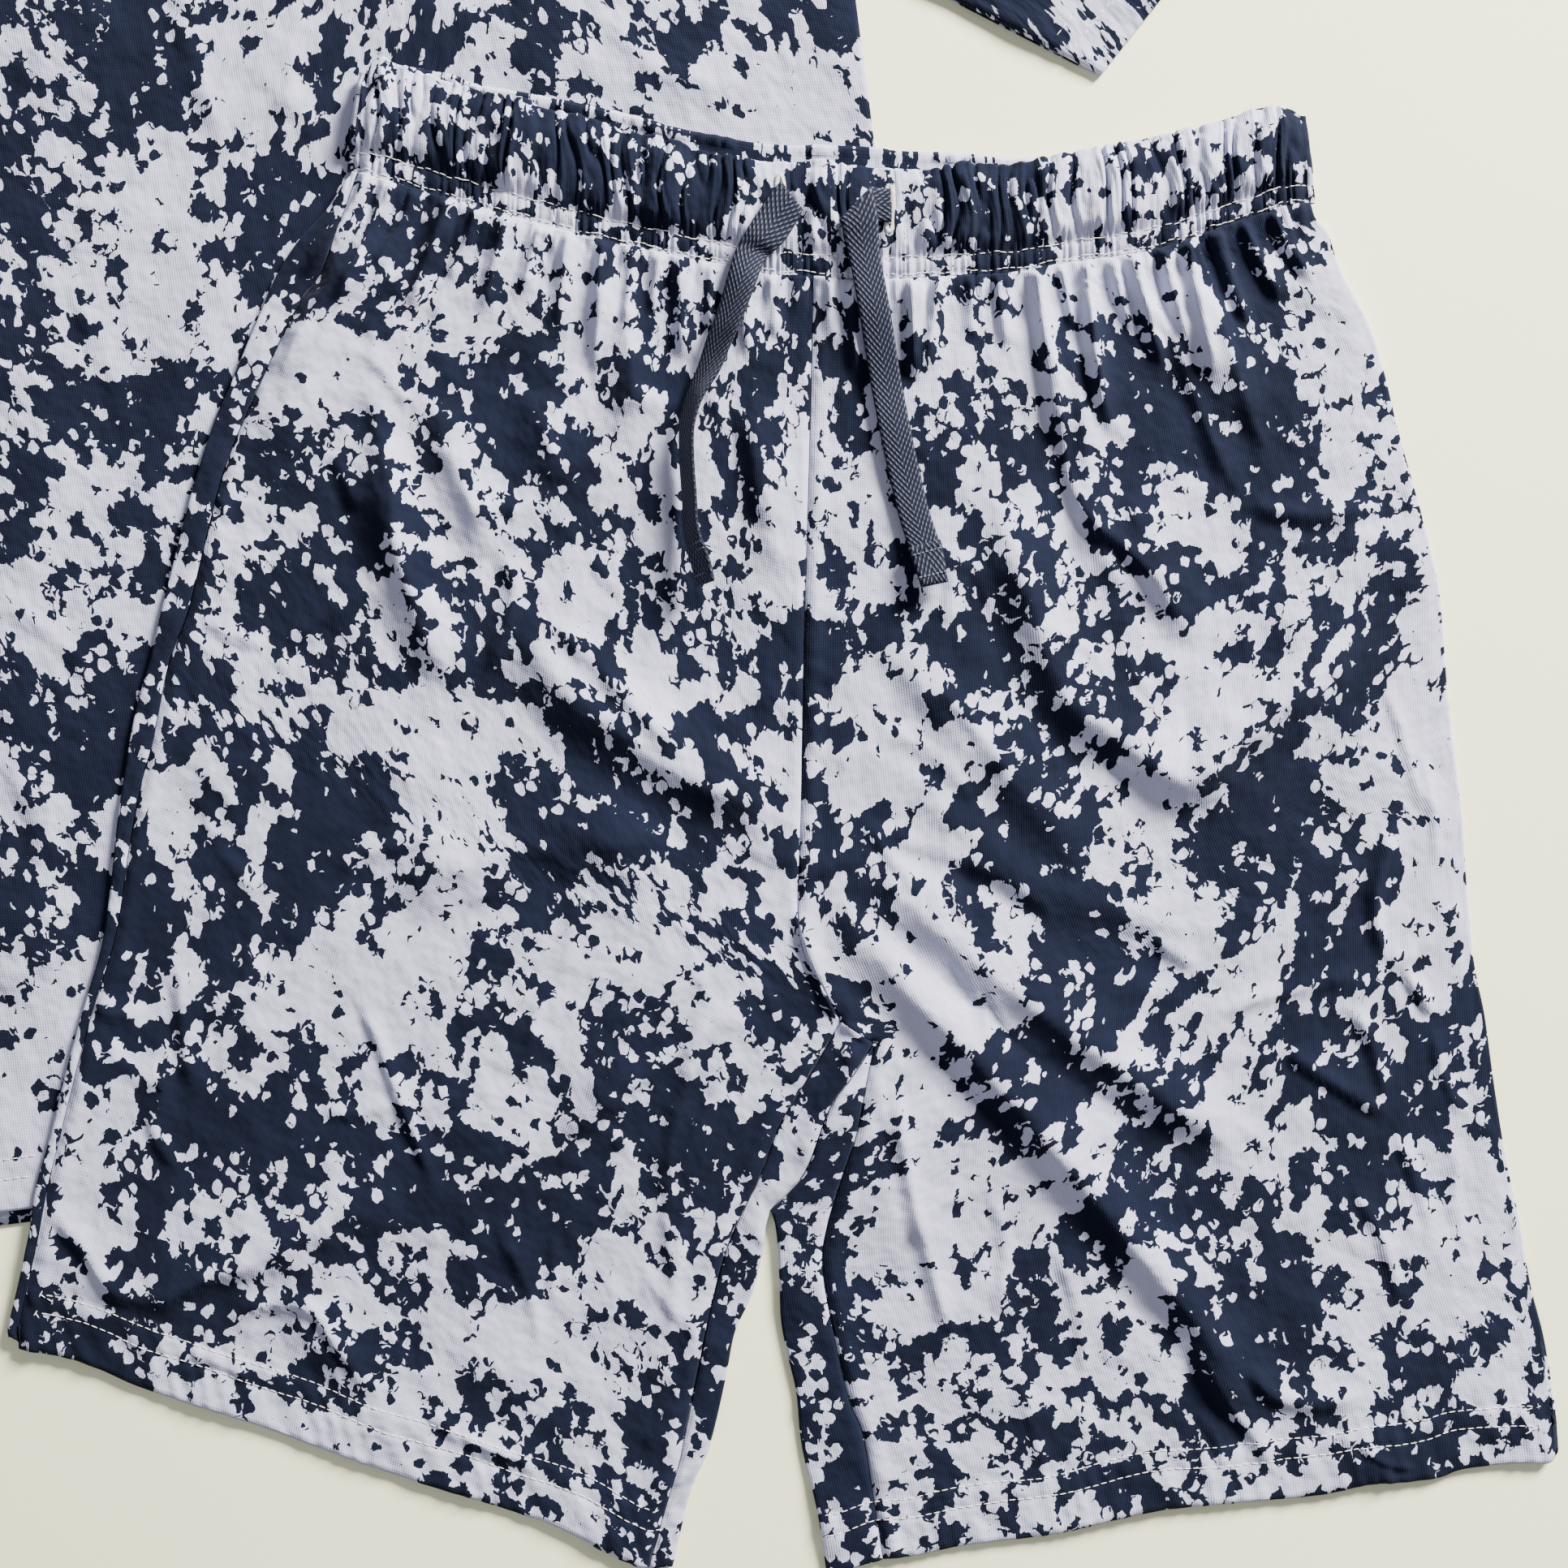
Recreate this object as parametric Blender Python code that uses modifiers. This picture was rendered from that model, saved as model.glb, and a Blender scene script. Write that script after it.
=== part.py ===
"""Two-piece summer pyjama set laid flat: a short-sleeved jersey top and drawstring shorts.

Metres, +Z up. The set lies on the plane z = 0, seen from above with +Y towards the neck of the
top. Left and right are those of the viewer looking down. The shorts lie on the lower right part
of the top. The plan tables below are in the shorts' own layout frame, and PLAN_SHIFT moves that
frame so that the middle of the whole set is the origin.
"""

import math

import bmesh
import bpy

# Cloth and layers
CLOTH = 0.0010
BAND_WALL = 0.0022
LAYER_GAP = 0.0003
SEAM_HALF_GAP = 0.00016
FRONT_TOP = 2.0 * CLOTH + LAYER_GAP
BAND_TOP = 2.0 * BAND_WALL + LAYER_GAP
NOSE_INSET = 0.0013
BAND_NOSE_INSET = 0.0022
PLAN_SHIFT = (0.1960, -0.1251)

# Top, in its own frame: origin at the middle of the front hem, +Y to the neck
TOP_ORIGIN = (-0.1629, -0.1280)
TOP_TURN = math.radians(7.5)
TOP_HALF_WIDTH = 0.235
TOP_BACK_HEM_DROP = 0.0045
TOP_FRONT_NECK_DROP = 0.080
TOP_BACK_NECK_DROP = 0.020
NECK_HALF_WIDTH = 0.085
NECK_HEIGHT = 0.620
NECKBAND_WIDTH = 0.018
ARMHOLE = ((0.235, 0.375), (0.214, 0.402), (0.201, 0.445), (0.198, 0.500), (0.200, 0.545), (0.205, 0.580))
SLEEVE_HEM = ((0.3114, 0.3224), (0.4297, 0.4374))
SIDE_ROWS = 13
ARMHOLE_ROWS = 5
SHOULDER_COLUMNS = 5
NECK_COLUMNS = 12
SLEEVE_COLUMNS = 5

# Lift of the shorts over the top, and the flat zone of the top under the shorts
TOP_LIFT = 0.0027
TOP_LIFT_MARGIN = 0.004
TOP_LIFT_FADE = 0.060
SHORTS_CLEARANCE = 0.003
SHORTS_CLEARANCE_FADE = 0.014

# Rows and columns of the shorts' panels
FRONT_SEAM_ROWS = 13
LEG_ROWS = 15
BACK_SEAM_ROWS = 18
INNER_ROWS = 10
BRIDGE_ROWS = 5
FRONT_COLUMNS = 22
BACK_COLUMNS = 12
WRAP_COLUMNS = 2

# Gathers of the waistband and of the cloth under it
GATHERS = 48
GATHER_DEPTH = 0.0014
BAND_PUFF = 0.0018
BAND_PUFF_REACH = 0.014
PLEAT_DEPTH = 0.0016
PLEAT_REACH = 0.034
PLEATS = 20
CORD_ZONE = 0.009

# Drawcord tape and buttonholes
TAPE_WIDTH = 0.010
TAPE_THICKNESS = 0.0012
TAPE_CLEARANCE = 0.0007
BUTTONHOLE_LENGTH = 0.0170
BUTTONHOLE_WIDTH = 0.0052
BUTTONHOLE_STITCH = 0.0014
BUTTONHOLE_RAISE = 0.0005
BUTTONHOLES = {"buttonhole_left": (-0.0005, 0.1925), "buttonhole_right": (0.0340, 0.1885)}

# Outlines of the shorts, (x, y) from the waistband down to the hem
LEFT_OUTER = (
    (-0.1410, 0.2000), (-0.1495, 0.1875), (-0.1585, 0.1775), (-0.1655, 0.1670), (-0.1725, 0.1510),
    (-0.1810, 0.1305), (-0.1860, 0.1190), (-0.1925, 0.0990), (-0.2020, 0.0630), (-0.2065, 0.0435),
    (-0.2125, 0.0215), (-0.2175, -0.0095), (-0.2195, -0.0285), (-0.2230, -0.0525), (-0.2290, -0.0730),
    (-0.2340, -0.0915), (-0.2400, -0.1155), (-0.2445, -0.1315), (-0.2470, -0.1475), (-0.2510, -0.1650),
    (-0.2540, -0.1770), (-0.2540, -0.1810),
)
LEFT_OUTSEAM = (
    (-0.1390, 0.1995), (-0.1495, 0.1700), (-0.1575, 0.1585), (-0.1670, 0.1395), (-0.1755, 0.1210),
    (-0.1830, 0.1020), (-0.1890, 0.0790), (-0.1945, 0.0565), (-0.2010, 0.0390), (-0.2065, 0.0125),
    (-0.2095, 0.0020), (-0.2140, -0.0225), (-0.2160, -0.0365), (-0.2190, -0.0525), (-0.2255, -0.0730),
    (-0.2305, -0.0915), (-0.2365, -0.1155), (-0.2405, -0.1315), (-0.2435, -0.1475), (-0.2475, -0.1650),
    (-0.2500, -0.1770), (-0.2500, -0.1825),
)
RIGHT_OUTER = (
    (0.1725, 0.1905), (0.1740, 0.1855), (0.1785, 0.1805), (0.1825, 0.1685), (0.1910, 0.1525),
    (0.1965, 0.1365), (0.2010, 0.1180), (0.2050, 0.1035), (0.2105, 0.0835), (0.2145, 0.0660),
    (0.2160, 0.0530), (0.2180, 0.0270), (0.2210, 0.0020), (0.2225, -0.0115), (0.2235, -0.0265),
    (0.2255, -0.0515), (0.2275, -0.0645), (0.2300, -0.0765), (0.2335, -0.1025), (0.2370, -0.1235),
    (0.2405, -0.1400), (0.2450, -0.1645), (0.2490, -0.1800), (0.2515, -0.1945), (0.2530, -0.2060),
    (0.2540, -0.2185),
)
FRONT_SEAM = (
    (0.0095, 0.1655), (0.0080, 0.0975), (0.0065, 0.0495), (0.0055, -0.0090), (0.0045, -0.0435),
    (0.0075, -0.0580), (0.0125, -0.0660), (0.0185, -0.0775),
)
LEFT_INSEAM = (
    (0.0185, -0.0775), (0.0065, -0.0980), (-0.0010, -0.1105), (-0.0080, -0.1285), (-0.0160, -0.1450),
    (-0.0205, -0.1575), (-0.0250, -0.1760), (-0.0275, -0.1885), (-0.0315, -0.2070), (-0.0340, -0.2210),
    (-0.0380, -0.2345), (-0.0445, -0.2570),
)
CROTCH = (0.0295, -0.0845)
RIGHT_INSEAM = (
    (0.0295, -0.0845), (0.0265, -0.0995), (0.0235, -0.1150), (0.0185, -0.1295), (0.0140, -0.1450),
    (0.0125, -0.1570), (0.0150, -0.1740), (0.0210, -0.2005), (0.0260, -0.2135), (0.0300, -0.2380),
    (0.0325, -0.2540),
)
BACK_SEAM_ON_TOP = (
    (0.0295, -0.0845), (0.0225, -0.0950), (0.0150, -0.1055), (0.0075, -0.1255), (0.0015, -0.1335),
    (-0.0045, -0.1395),
)
BACK_SEAM_UNDER = (
    (0.0095, 0.1655), (0.0095, 0.0710), (0.0090, -0.0090), (0.0065, -0.0755), (-0.0045, -0.1395),
)
LEFT_INNER = (
    (-0.0045, -0.1395), (-0.0060, -0.1450), (-0.0068, -0.1525), (-0.0105, -0.1675), (-0.0160, -0.1795),
    (-0.0187, -0.1930), (-0.0220, -0.2080), (-0.0250, -0.2190), (-0.0285, -0.2265), (-0.0315, -0.2350),
    (-0.0335, -0.2435), (-0.0365, -0.2565),
)
RIGHT_INNER = (
    (-0.0045, -0.1395), (-0.0032, -0.1430), (-0.0022, -0.1500), (-0.0015, -0.1630), (-0.0010, -0.1760),
    (0.0012, -0.1875), (0.0040, -0.1995), (0.0052, -0.2130), (0.0070, -0.2230), (0.0095, -0.2325),
    (0.0115, -0.2420), (0.0140, -0.2590),
)
# Hems and the lower edge of the waistband, (x, y) from left to right
LEFT_HEM = (
    (-0.2540, -0.1810), (-0.2500, -0.1848), (-0.2365, -0.1875), (-0.2270, -0.1905), (-0.2125, -0.1970),
    (-0.2010, -0.2010), (-0.1805, -0.2075), (-0.1645, -0.2130), (-0.1430, -0.2210), (-0.1190, -0.2290),
    (-0.0975, -0.2355), (-0.0755, -0.2430), (-0.0645, -0.2485), (-0.0550, -0.2535), (-0.0445, -0.2570),
    (-0.0365, -0.2565),
)
RIGHT_HEM = (
    (0.0140, -0.2590), (0.0230, -0.2575), (0.0325, -0.2540), (0.0445, -0.2525), (0.0555, -0.2500),
    (0.0705, -0.2480), (0.0895, -0.2455), (0.1200, -0.2385), (0.1425, -0.2360), (0.1745, -0.2330),
    (0.1915, -0.2295), (0.2055, -0.2285), (0.2155, -0.2270), (0.2225, -0.2245), (0.2400, -0.2225),
    (0.2500, -0.2225), (0.2540, -0.2185),
)
BAND_LOW_LEFT = (
    (-0.1410, 0.2000), (-0.1305, 0.1970), (-0.1100, 0.1910), (-0.0940, 0.1865), (-0.0795, 0.1825),
    (-0.0645, 0.1785), (-0.0530, 0.1760), (-0.0410, 0.1735), (-0.0305, 0.1710), (-0.0180, 0.1690),
    (-0.0040, 0.1660), (0.0095, 0.1655),
)
BAND_LOW_RIGHT = (
    (0.0095, 0.1655), (0.0215, 0.1645), (0.0445, 0.1650), (0.0595, 0.1660), (0.0775, 0.1675),
    (0.0925, 0.1705), (0.1105, 0.1730), (0.1260, 0.1760), (0.1385, 0.1805), (0.1550, 0.1860),
    (0.1640, 0.1890), (0.1725, 0.1905),
)
BAND_FRONT_TOP = (
    (-0.1365, 0.2310), (-0.1315, 0.2350), (-0.1235, 0.2330), (-0.1090, 0.2285), (-0.0970, 0.2245),
    (-0.0825, 0.2210), (-0.0645, 0.2165), (-0.0530, 0.2125), (-0.0345, 0.2080), (-0.0150, 0.2035),
    (0.0030, 0.2025), (0.0265, 0.2010), (0.0480, 0.2000), (0.0595, 0.2015), (0.0725, 0.2020),
    (0.0835, 0.2035), (0.0930, 0.2055), (0.1055, 0.2075), (0.1230, 0.2115), (0.1360, 0.2140),
    (0.1460, 0.2170), (0.1575, 0.2205), (0.1655, 0.2205), (0.1690, 0.2185),
)
BAND_BACK_TOP = (
    (-0.1365, 0.2310), (-0.1315, 0.2362), (-0.1235, 0.2342), (-0.1080, 0.2315), (-0.1000, 0.2280),
    (-0.0875, 0.2262), (-0.0710, 0.2230), (-0.0510, 0.2188), (-0.0385, 0.2150), (-0.0235, 0.2120),
    (-0.0040, 0.2090), (0.0275, 0.2082), (0.0365, 0.2070), (0.0570, 0.2060), (0.0725, 0.2050),
    (0.0835, 0.2052), (0.0930, 0.2065), (0.1055, 0.2085), (0.1230, 0.2125), (0.1360, 0.2150),
    (0.1460, 0.2180), (0.1575, 0.2215), (0.1655, 0.2210), (0.1690, 0.2185),
)
# Heights of the rows of the waistband as shares of its width, and how deep the gathers are there
BAND_ROWS = ((0.00, 0.45), (0.17, 0.50), (0.40, 1.00), (0.75, 1.00), (1.00, 0.70))

# Crests of the largest folds: (points, half width, height)
FOLDS = (
    (((0.0225, -0.0200), (0.0515, -0.0485), (0.0835, -0.0740), (0.1290, -0.1065), (0.1580, -0.1255)),
     0.0090, 0.0045),
    (((0.0115, -0.0305), (0.0385, -0.0645), (0.0775, -0.1065), (0.1125, -0.1480), (0.1385, -0.1805),
      (0.1515, -0.1995), (0.1740, -0.2085)), 0.0090, 0.0050),
    (((0.0645, 0.1065), (0.0805, 0.0580), (0.0920, 0.0290), (0.1125, 0.0130), (0.1305, 0.0015),
      (0.1480, 0.0145), (0.1740, 0.0355), (0.1965, 0.0580)), 0.0100, 0.0055),
    (((0.0900, 0.1580), (0.0965, 0.1225), (0.1030, 0.0835), (0.1160, 0.0515)), 0.0075, 0.0025),
    (((0.1290, 0.1705), (0.1400, 0.1450), (0.1495, 0.1125)), 0.0090, 0.0030),
    (((0.1125, 0.0965), (0.1255, 0.0645), (0.1370, 0.0450)), 0.0080, 0.0025),
    (((0.0305, 0.0515), (0.0515, 0.0225), (0.0775, -0.0030), (0.1030, -0.0290)), 0.0090, 0.0030),
    (((0.0320, 0.0065), (0.0645, -0.0195), (0.1065, -0.0420), (0.1515, -0.0485)), 0.0090, 0.0020),
    (((-0.1370, 0.1190), (-0.1270, 0.0775), (-0.1160, 0.0485), (-0.1065, 0.0290)), 0.0090, 0.0040),
    (((-0.1145, 0.1290), (-0.1065, 0.0965), (-0.0920, 0.0740)), 0.0080, 0.0025),
    (((-0.0835, 0.0645), (-0.0755, 0.0355), (-0.0515, 0.0160), (-0.0260, 0.0000), (0.0000, -0.0080)),
     0.0120, 0.0045),
    (((-0.0820, 0.1290), (-0.0755, 0.0965)), 0.0075, 0.0020),
    (((-0.0595, 0.1675), (-0.0530, 0.1385), (-0.0485, 0.1125)), 0.0080, 0.0025),
    (((-0.0115, 0.1290), (-0.0065, 0.1030), (-0.0015, 0.0645)), 0.0075, 0.0025),
    (((0.0000, -0.0340), (-0.0260, -0.0595), (-0.0515, -0.0885), (-0.0740, -0.1190)), 0.0090, 0.0030),
    (((-0.0030, -0.0485), (-0.0320, -0.1000)), 0.0075, 0.0020),
    (((-0.1350, -0.0340), (-0.0900, -0.0230), (-0.0355, -0.0135)), 0.0110, 0.0025),
    (((-0.2155, -0.1705), (-0.1770, -0.1560), (-0.1225, -0.1320)), 0.0080, 0.0025),
    (((-0.1610, -0.1705), (-0.1450, -0.1900), (-0.1290, -0.1995)), 0.0075, 0.0020),
    (((-0.1290, 0.1805), (-0.1515, 0.1480), (-0.1705, 0.1065)), 0.0075, 0.0025),
)
# Folds of the top, in the layout frame
TOP_FOLDS = (
    (((-0.3600, -0.0900), (-0.2900, -0.0620), (-0.2300, -0.0350)), 0.0120, 0.0030),
    (((-0.4300, 0.1200), (-0.3300, 0.1500), (-0.2300, 0.1300)), 0.0150, 0.0035),
    (((-0.3200, 0.3300), (-0.2300, 0.3000), (-0.1500, 0.2900)), 0.0140, 0.0030),
    (((-0.0900, 0.3900), (-0.0500, 0.3200), (-0.0100, 0.2600)), 0.0120, 0.0030),
    (((-0.3900, 0.3000), (-0.3700, 0.2200), (-0.3300, 0.0800)), 0.0140, 0.0030),
)
# Centre lines of the two free ends of the drawcord: (x, y, tilt in degrees), from the buttonhole
TAPE_LEFT = (
    (-0.0005, 0.1930, 0), (0.0022, 0.1880, 0), (0.0020, 0.1820, 0), (-0.0020, 0.1755, 0),
    (-0.0075, 0.1655, 0), (-0.0125, 0.1535, 0), (-0.0185, 0.1405, 12), (-0.0235, 0.1245, 30),
    (-0.0275, 0.1085, 45), (-0.0300, 0.0950, 50), (-0.0305, 0.0830, 50), (-0.0285, 0.0745, 40),
    (-0.0255, 0.0675, 30),
)
TAPE_RIGHT = (
    (0.0340, 0.1875, 0), (0.0300, 0.1885, 0), (0.0262, 0.1850, 0), (0.0250, 0.1760, 0),
    (0.0267, 0.1615, 0), (0.0300, 0.1485, 0), (0.0330, 0.1350, 0), (0.0360, 0.1205, 0),
    (0.0390, 0.1070, 0), (0.0420, 0.0925, 0), (0.0450, 0.0790, 0), (0.0475, 0.0675, 0),
)
TAPE_STATIONS = 26

# Colours and finishes: (linear colour, roughness)
PRINTED_JERSEY = ((0.19, 0.20, 0.25), 0.85)
RIB_JERSEY = ((0.17, 0.18, 0.23), 0.85)
TAPE_YARN = ((0.045, 0.055, 0.085), 0.80)
STITCH_YARN = ((0.72, 0.71, 0.70), 0.70)


def smoothstep(low, high, value):
    """Ease from 0 at low to 1 at high."""
    share = min(max((value - low) / (high - low), 0.0), 1.0)
    return share * share * (3.0 - 2.0 * share)


def lerp(first, second, share):
    """Blend two points of any length."""
    return tuple(a + (b - a) * share for a, b in zip(first, second))


def curve_through(points, steps=12):
    """Sample a smooth curve that passes through the points."""
    ends = [lerp(points[0], points[1], -1.0), *points, lerp(points[-1], points[-2], -1.0)]
    samples = []
    for index in range(1, len(ends) - 2):
        before, start, end, after = ends[index - 1: index + 3]
        for step in range(steps):
            t = step / steps
            samples.append(tuple(
                0.5 * (2 * b + (c - a) * t + (2 * a - 5 * b + 4 * c - d) * t * t
                       + (3 * b - a - 3 * c + d) * t * t * t)
                for a, b, c, d in zip(before, start, end, after)))
    samples.append(tuple(points[-1]))
    return samples


def spaced(points, intervals, smooth=True):
    """Return intervals + 1 points at equal spacing along the curve."""
    dense = curve_through(points) if smooth and len(points) > 2 else [tuple(p) for p in points]
    lengths = [0.0]
    for first, second in zip(dense, dense[1:]):
        lengths.append(lengths[-1] + math.dist(first[:2], second[:2]))
    result = []
    index = 0
    for step in range(intervals + 1):
        target = lengths[-1] * step / intervals
        while index < len(dense) - 2 and lengths[index + 1] < target:
            index += 1
        run = max(lengths[index + 1] - lengths[index], 1e-9)
        result.append(lerp(dense[index], dense[index + 1], (target - lengths[index]) / run))
    return result


def normals_left(points):
    """Unit normals to the left of travel at each point of a plan polyline."""
    result = []
    for index in range(len(points)):
        first = points[max(index - 1, 0)]
        second = points[min(index + 1, len(points) - 1)]
        dx, dy = second[0] - first[0], second[1] - first[1]
        length = math.hypot(dx, dy) or 1.0
        result.append((-dy / length, dx / length))
    return result


def moved(points, distance):
    """Move a plan polyline sideways: positive is to the left of travel."""
    return [(x + nx * distance, y + ny * distance)
            for (x, y), (nx, ny) in zip([p[:2] for p in points], normals_left(points))]


def along(points, share):
    """Point at a share of the polyline's own steps."""
    place = share * (len(points) - 1)
    index = min(int(place), len(points) - 2)
    return lerp(points[index], points[index + 1], place - index)


def patch(left, right, top, bottom, gaps=(1, 1, 1, 1)):
    """Fill the plan between four edges: rows run from top to bottom, columns from left to right.

    Each edge with a gap is drawn in by SEAM_HALF_GAP, so that two panels do not touch.
    """
    columns = len(top) - 1
    rows = len(left) - 1
    gap_left, gap_right, gap_top, gap_bottom = (SEAM_HALF_GAP * g for g in gaps)
    in_left = normals_left(left)
    in_right = normals_left(right)
    in_top = normals_left(top)
    in_bottom = normals_left(bottom)
    result = []
    for row in range(rows + 1):
        t = row / rows
        line = []
        for column in range(columns + 1):
            s = column / columns
            point = []
            for axis in (0, 1):
                value = ((1 - s) * left[row][axis] + s * right[row][axis]
                         + (1 - t) * top[column][axis] + t * bottom[column][axis]
                         - (1 - s) * (1 - t) * top[0][axis] - s * (1 - t) * top[-1][axis]
                         - (1 - s) * t * bottom[0][axis] - s * t * bottom[-1][axis])
                value += (1 - s) * gap_left * in_left[row][axis] - s * gap_right * in_right[row][axis]
                value += t * gap_bottom * in_bottom[column][axis] - (1 - t) * gap_top * in_top[column][axis]
                point.append(value)
            line.append(tuple(point))
        result.append(line)
    return result


def distance_along(x, y, points):
    """Distance from a plan point to a polyline, and the share of its length at the nearest point."""
    best = (1e9, 0.0)
    run = 0.0
    for (ax, ay), (bx, by) in zip(points, points[1:]):
        dx, dy = bx - ax, by - ay
        length = max(math.hypot(dx, dy), 1e-9)
        t = min(max(((x - ax) * dx + (y - ay) * dy) / (length * length), 0.0), 1.0)
        gap = math.hypot(x - ax - dx * t, y - ay - dy * t)
        if gap < best[0]:
            best = (gap, run + t * length)
        run += length
    return best[0], best[1] / run


def ridge_sum(x, y, folds):
    """Height of soft rounded ridges along the crests, fading out at both ends."""
    total = 0.0
    for crest, half_width, height in folds:
        gap, share = distance_along(x, y, crest)
        if gap < 3.0 * half_width:
            ends = smoothstep(0.0, 0.18, share) * smoothstep(0.0, 0.18, 1.0 - share)
            total += height * ends * math.exp(-((gap / half_width) ** 2))
    return total


def top_to_plan(x, y):
    """From the top's own frame to the layout frame."""
    cosine, sine = math.cos(TOP_TURN), math.sin(TOP_TURN)
    return (TOP_ORIGIN[0] + x * cosine - y * sine, TOP_ORIGIN[1] + x * sine + y * cosine)


def plan_to_top(x, y):
    """From the layout frame to the top's own frame."""
    cosine, sine = math.cos(TOP_TURN), math.sin(TOP_TURN)
    x, y = x - TOP_ORIGIN[0], y - TOP_ORIGIN[1]
    return (x * cosine + y * sine, -x * sine + y * cosine)


def base_lift(x, y):
    """Height of the surface that the shorts rest on: the top under them, or the ground."""
    across, up = plan_to_top(x, y)
    outside = math.hypot(max(abs(across) - TOP_HALF_WIDTH, 0.0), max(-up, 0.0))
    return TOP_LIFT * (1.0 - smoothstep(TOP_LIFT_MARGIN, TOP_LIFT_MARGIN + TOP_LIFT_FADE, outside))


BAND_LOW = tuple(BAND_LOW_LEFT) + tuple(BAND_LOW_RIGHT[1:])
SHORTS_OUTLINE = (tuple(reversed(BAND_BACK_TOP)) + tuple(LEFT_OUTER) + tuple(LEFT_HEM[1:])
                  + tuple(reversed(LEFT_INNER)) + tuple(RIGHT_INNER) + tuple(RIGHT_HEM[1:])
                  + tuple(reversed(RIGHT_OUTER)))


def clear_of_shorts(x, y):
    """0 under and close to the shorts, 1 where the top lies free of them."""
    inside = False
    points = SHORTS_OUTLINE
    for (ax, ay), (bx, by) in zip(points, points[1:] + points[:1]):
        if (ay > y) != (by > y) and x < (bx - ax) * (y - ay) / (by - ay) + ax:
            inside = not inside
    if inside:
        return 0.0
    gap, _ = distance_along(x, y, points + points[:1])
    return smoothstep(SHORTS_CLEARANCE, SHORTS_CLEARANCE + SHORTS_CLEARANCE_FADE, gap)


def gather_wave(share, count):
    """Triangular wave, 0 to 1, with count crests from share 0 to 1."""
    return abs(((share * count) % 1.0) * 2.0 - 1.0)


def shorts_top(x, y):
    """Upper face of the shorts' upper layer."""
    gap, share = distance_along(x, y, BAND_LOW)
    puff = BAND_PUFF * math.exp(-((gap / BAND_PUFF_REACH) ** 2))
    pleat = PLEAT_DEPTH * gather_wave(share, PLEATS) * math.exp(-((gap / PLEAT_REACH) ** 2))
    pleat *= smoothstep(0.004, 0.016, gap)
    return base_lift(x, y) + FRONT_TOP + puff + pleat + ridge_sum(x, y, FOLDS)


def cord_zone(x):
    """0 beside the buttonholes, 1 away from them."""
    nearest = min(abs(x - place[0]) for place in BUTTONHOLES.values())
    return smoothstep(0.5 * CORD_ZONE, CORD_ZONE, nearest)


def new_material(name, finish):
    """Principled material with a plain colour and roughness."""
    colour, roughness = finish
    material = bpy.data.materials.new(name)
    material.use_nodes = True
    shader = material.node_tree.nodes["Principled BSDF"]
    shader.inputs["Base Color"].default_value = (*colour, 1.0)
    shader.inputs["Roughness"].default_value = roughness
    return material


def add_grid(mesh, lines, flip=False):
    """Skin rows of vertices with quads, facing up when rows run down and columns run right."""
    for upper, lower in zip(lines, lines[1:]):
        for index in range(len(upper) - 1):
            corners = (upper[index], lower[index], lower[index + 1], upper[index + 1])
            if len(set(corners)) == 4:
                mesh.faces.new(reversed(corners) if flip else corners)


def vertices(mesh, points):
    """Add one vertex for each point, shifted from the layout frame to the set's frame."""
    return [mesh.verts.new((x + PLAN_SHIFT[0], y + PLAN_SHIFT[1], z)) for x, y, z in points]


def finish_sheet(mesh, name, material, collection, thickness=CLOTH):
    """Turn an open sheet, which faces outwards, into a wall of even thickness on its inner side."""
    data = bpy.data.meshes.new(name)
    mesh.to_mesh(data)
    mesh.free()
    data.materials.append(material)
    piece = bpy.data.objects.new(name, data)
    collection.objects.link(piece)
    wall = piece.modifiers.new("wall", "SOLIDIFY")
    wall.thickness = thickness
    wall.offset = -1.0
    wall.use_even_offset = False
    return piece


def with_height(line, height):
    """Give each plan point a height, a number or a function of x and y."""
    return [(x, y, height(x, y) if callable(height) else height) for x, y in line]


def body_edges(neck_drop):
    """Edges of one body panel of the top in its own frame: left, right, top and bottom."""
    side = spaced(((TOP_HALF_WIDTH, 0.0), ARMHOLE[0]), SIDE_ROWS)
    armhole = spaced(ARMHOLE, ARMHOLE_ROWS)
    right = list(reversed(side + armhole[1:]))
    left = [(-x, y) for x, y in right]
    neck_low = NECK_HEIGHT - neck_drop
    neck_right = ((0.0, neck_low), (0.45 * NECK_HALF_WIDTH, neck_low + 0.10 * neck_drop),
                  (0.80 * NECK_HALF_WIDTH, neck_low + 0.42 * neck_drop), (NECK_HALF_WIDTH, NECK_HEIGHT))
    neck = spaced([(-x, y) for x, y in reversed(neck_right)][:-1] + list(neck_right), NECK_COLUMNS)
    shoulder = spaced((ARMHOLE[-1], (NECK_HALF_WIDTH, NECK_HEIGHT)), SHOULDER_COLUMNS)
    top = [(-x, y) for x, y in shoulder] + neck[1:] + list(reversed(shoulder))[1:]
    columns = len(top) - 1
    bottom = [(-TOP_HALF_WIDTH + 2.0 * TOP_HALF_WIDTH * step / columns, 0.0) for step in range(columns + 1)]
    return left, right, top, bottom


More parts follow.
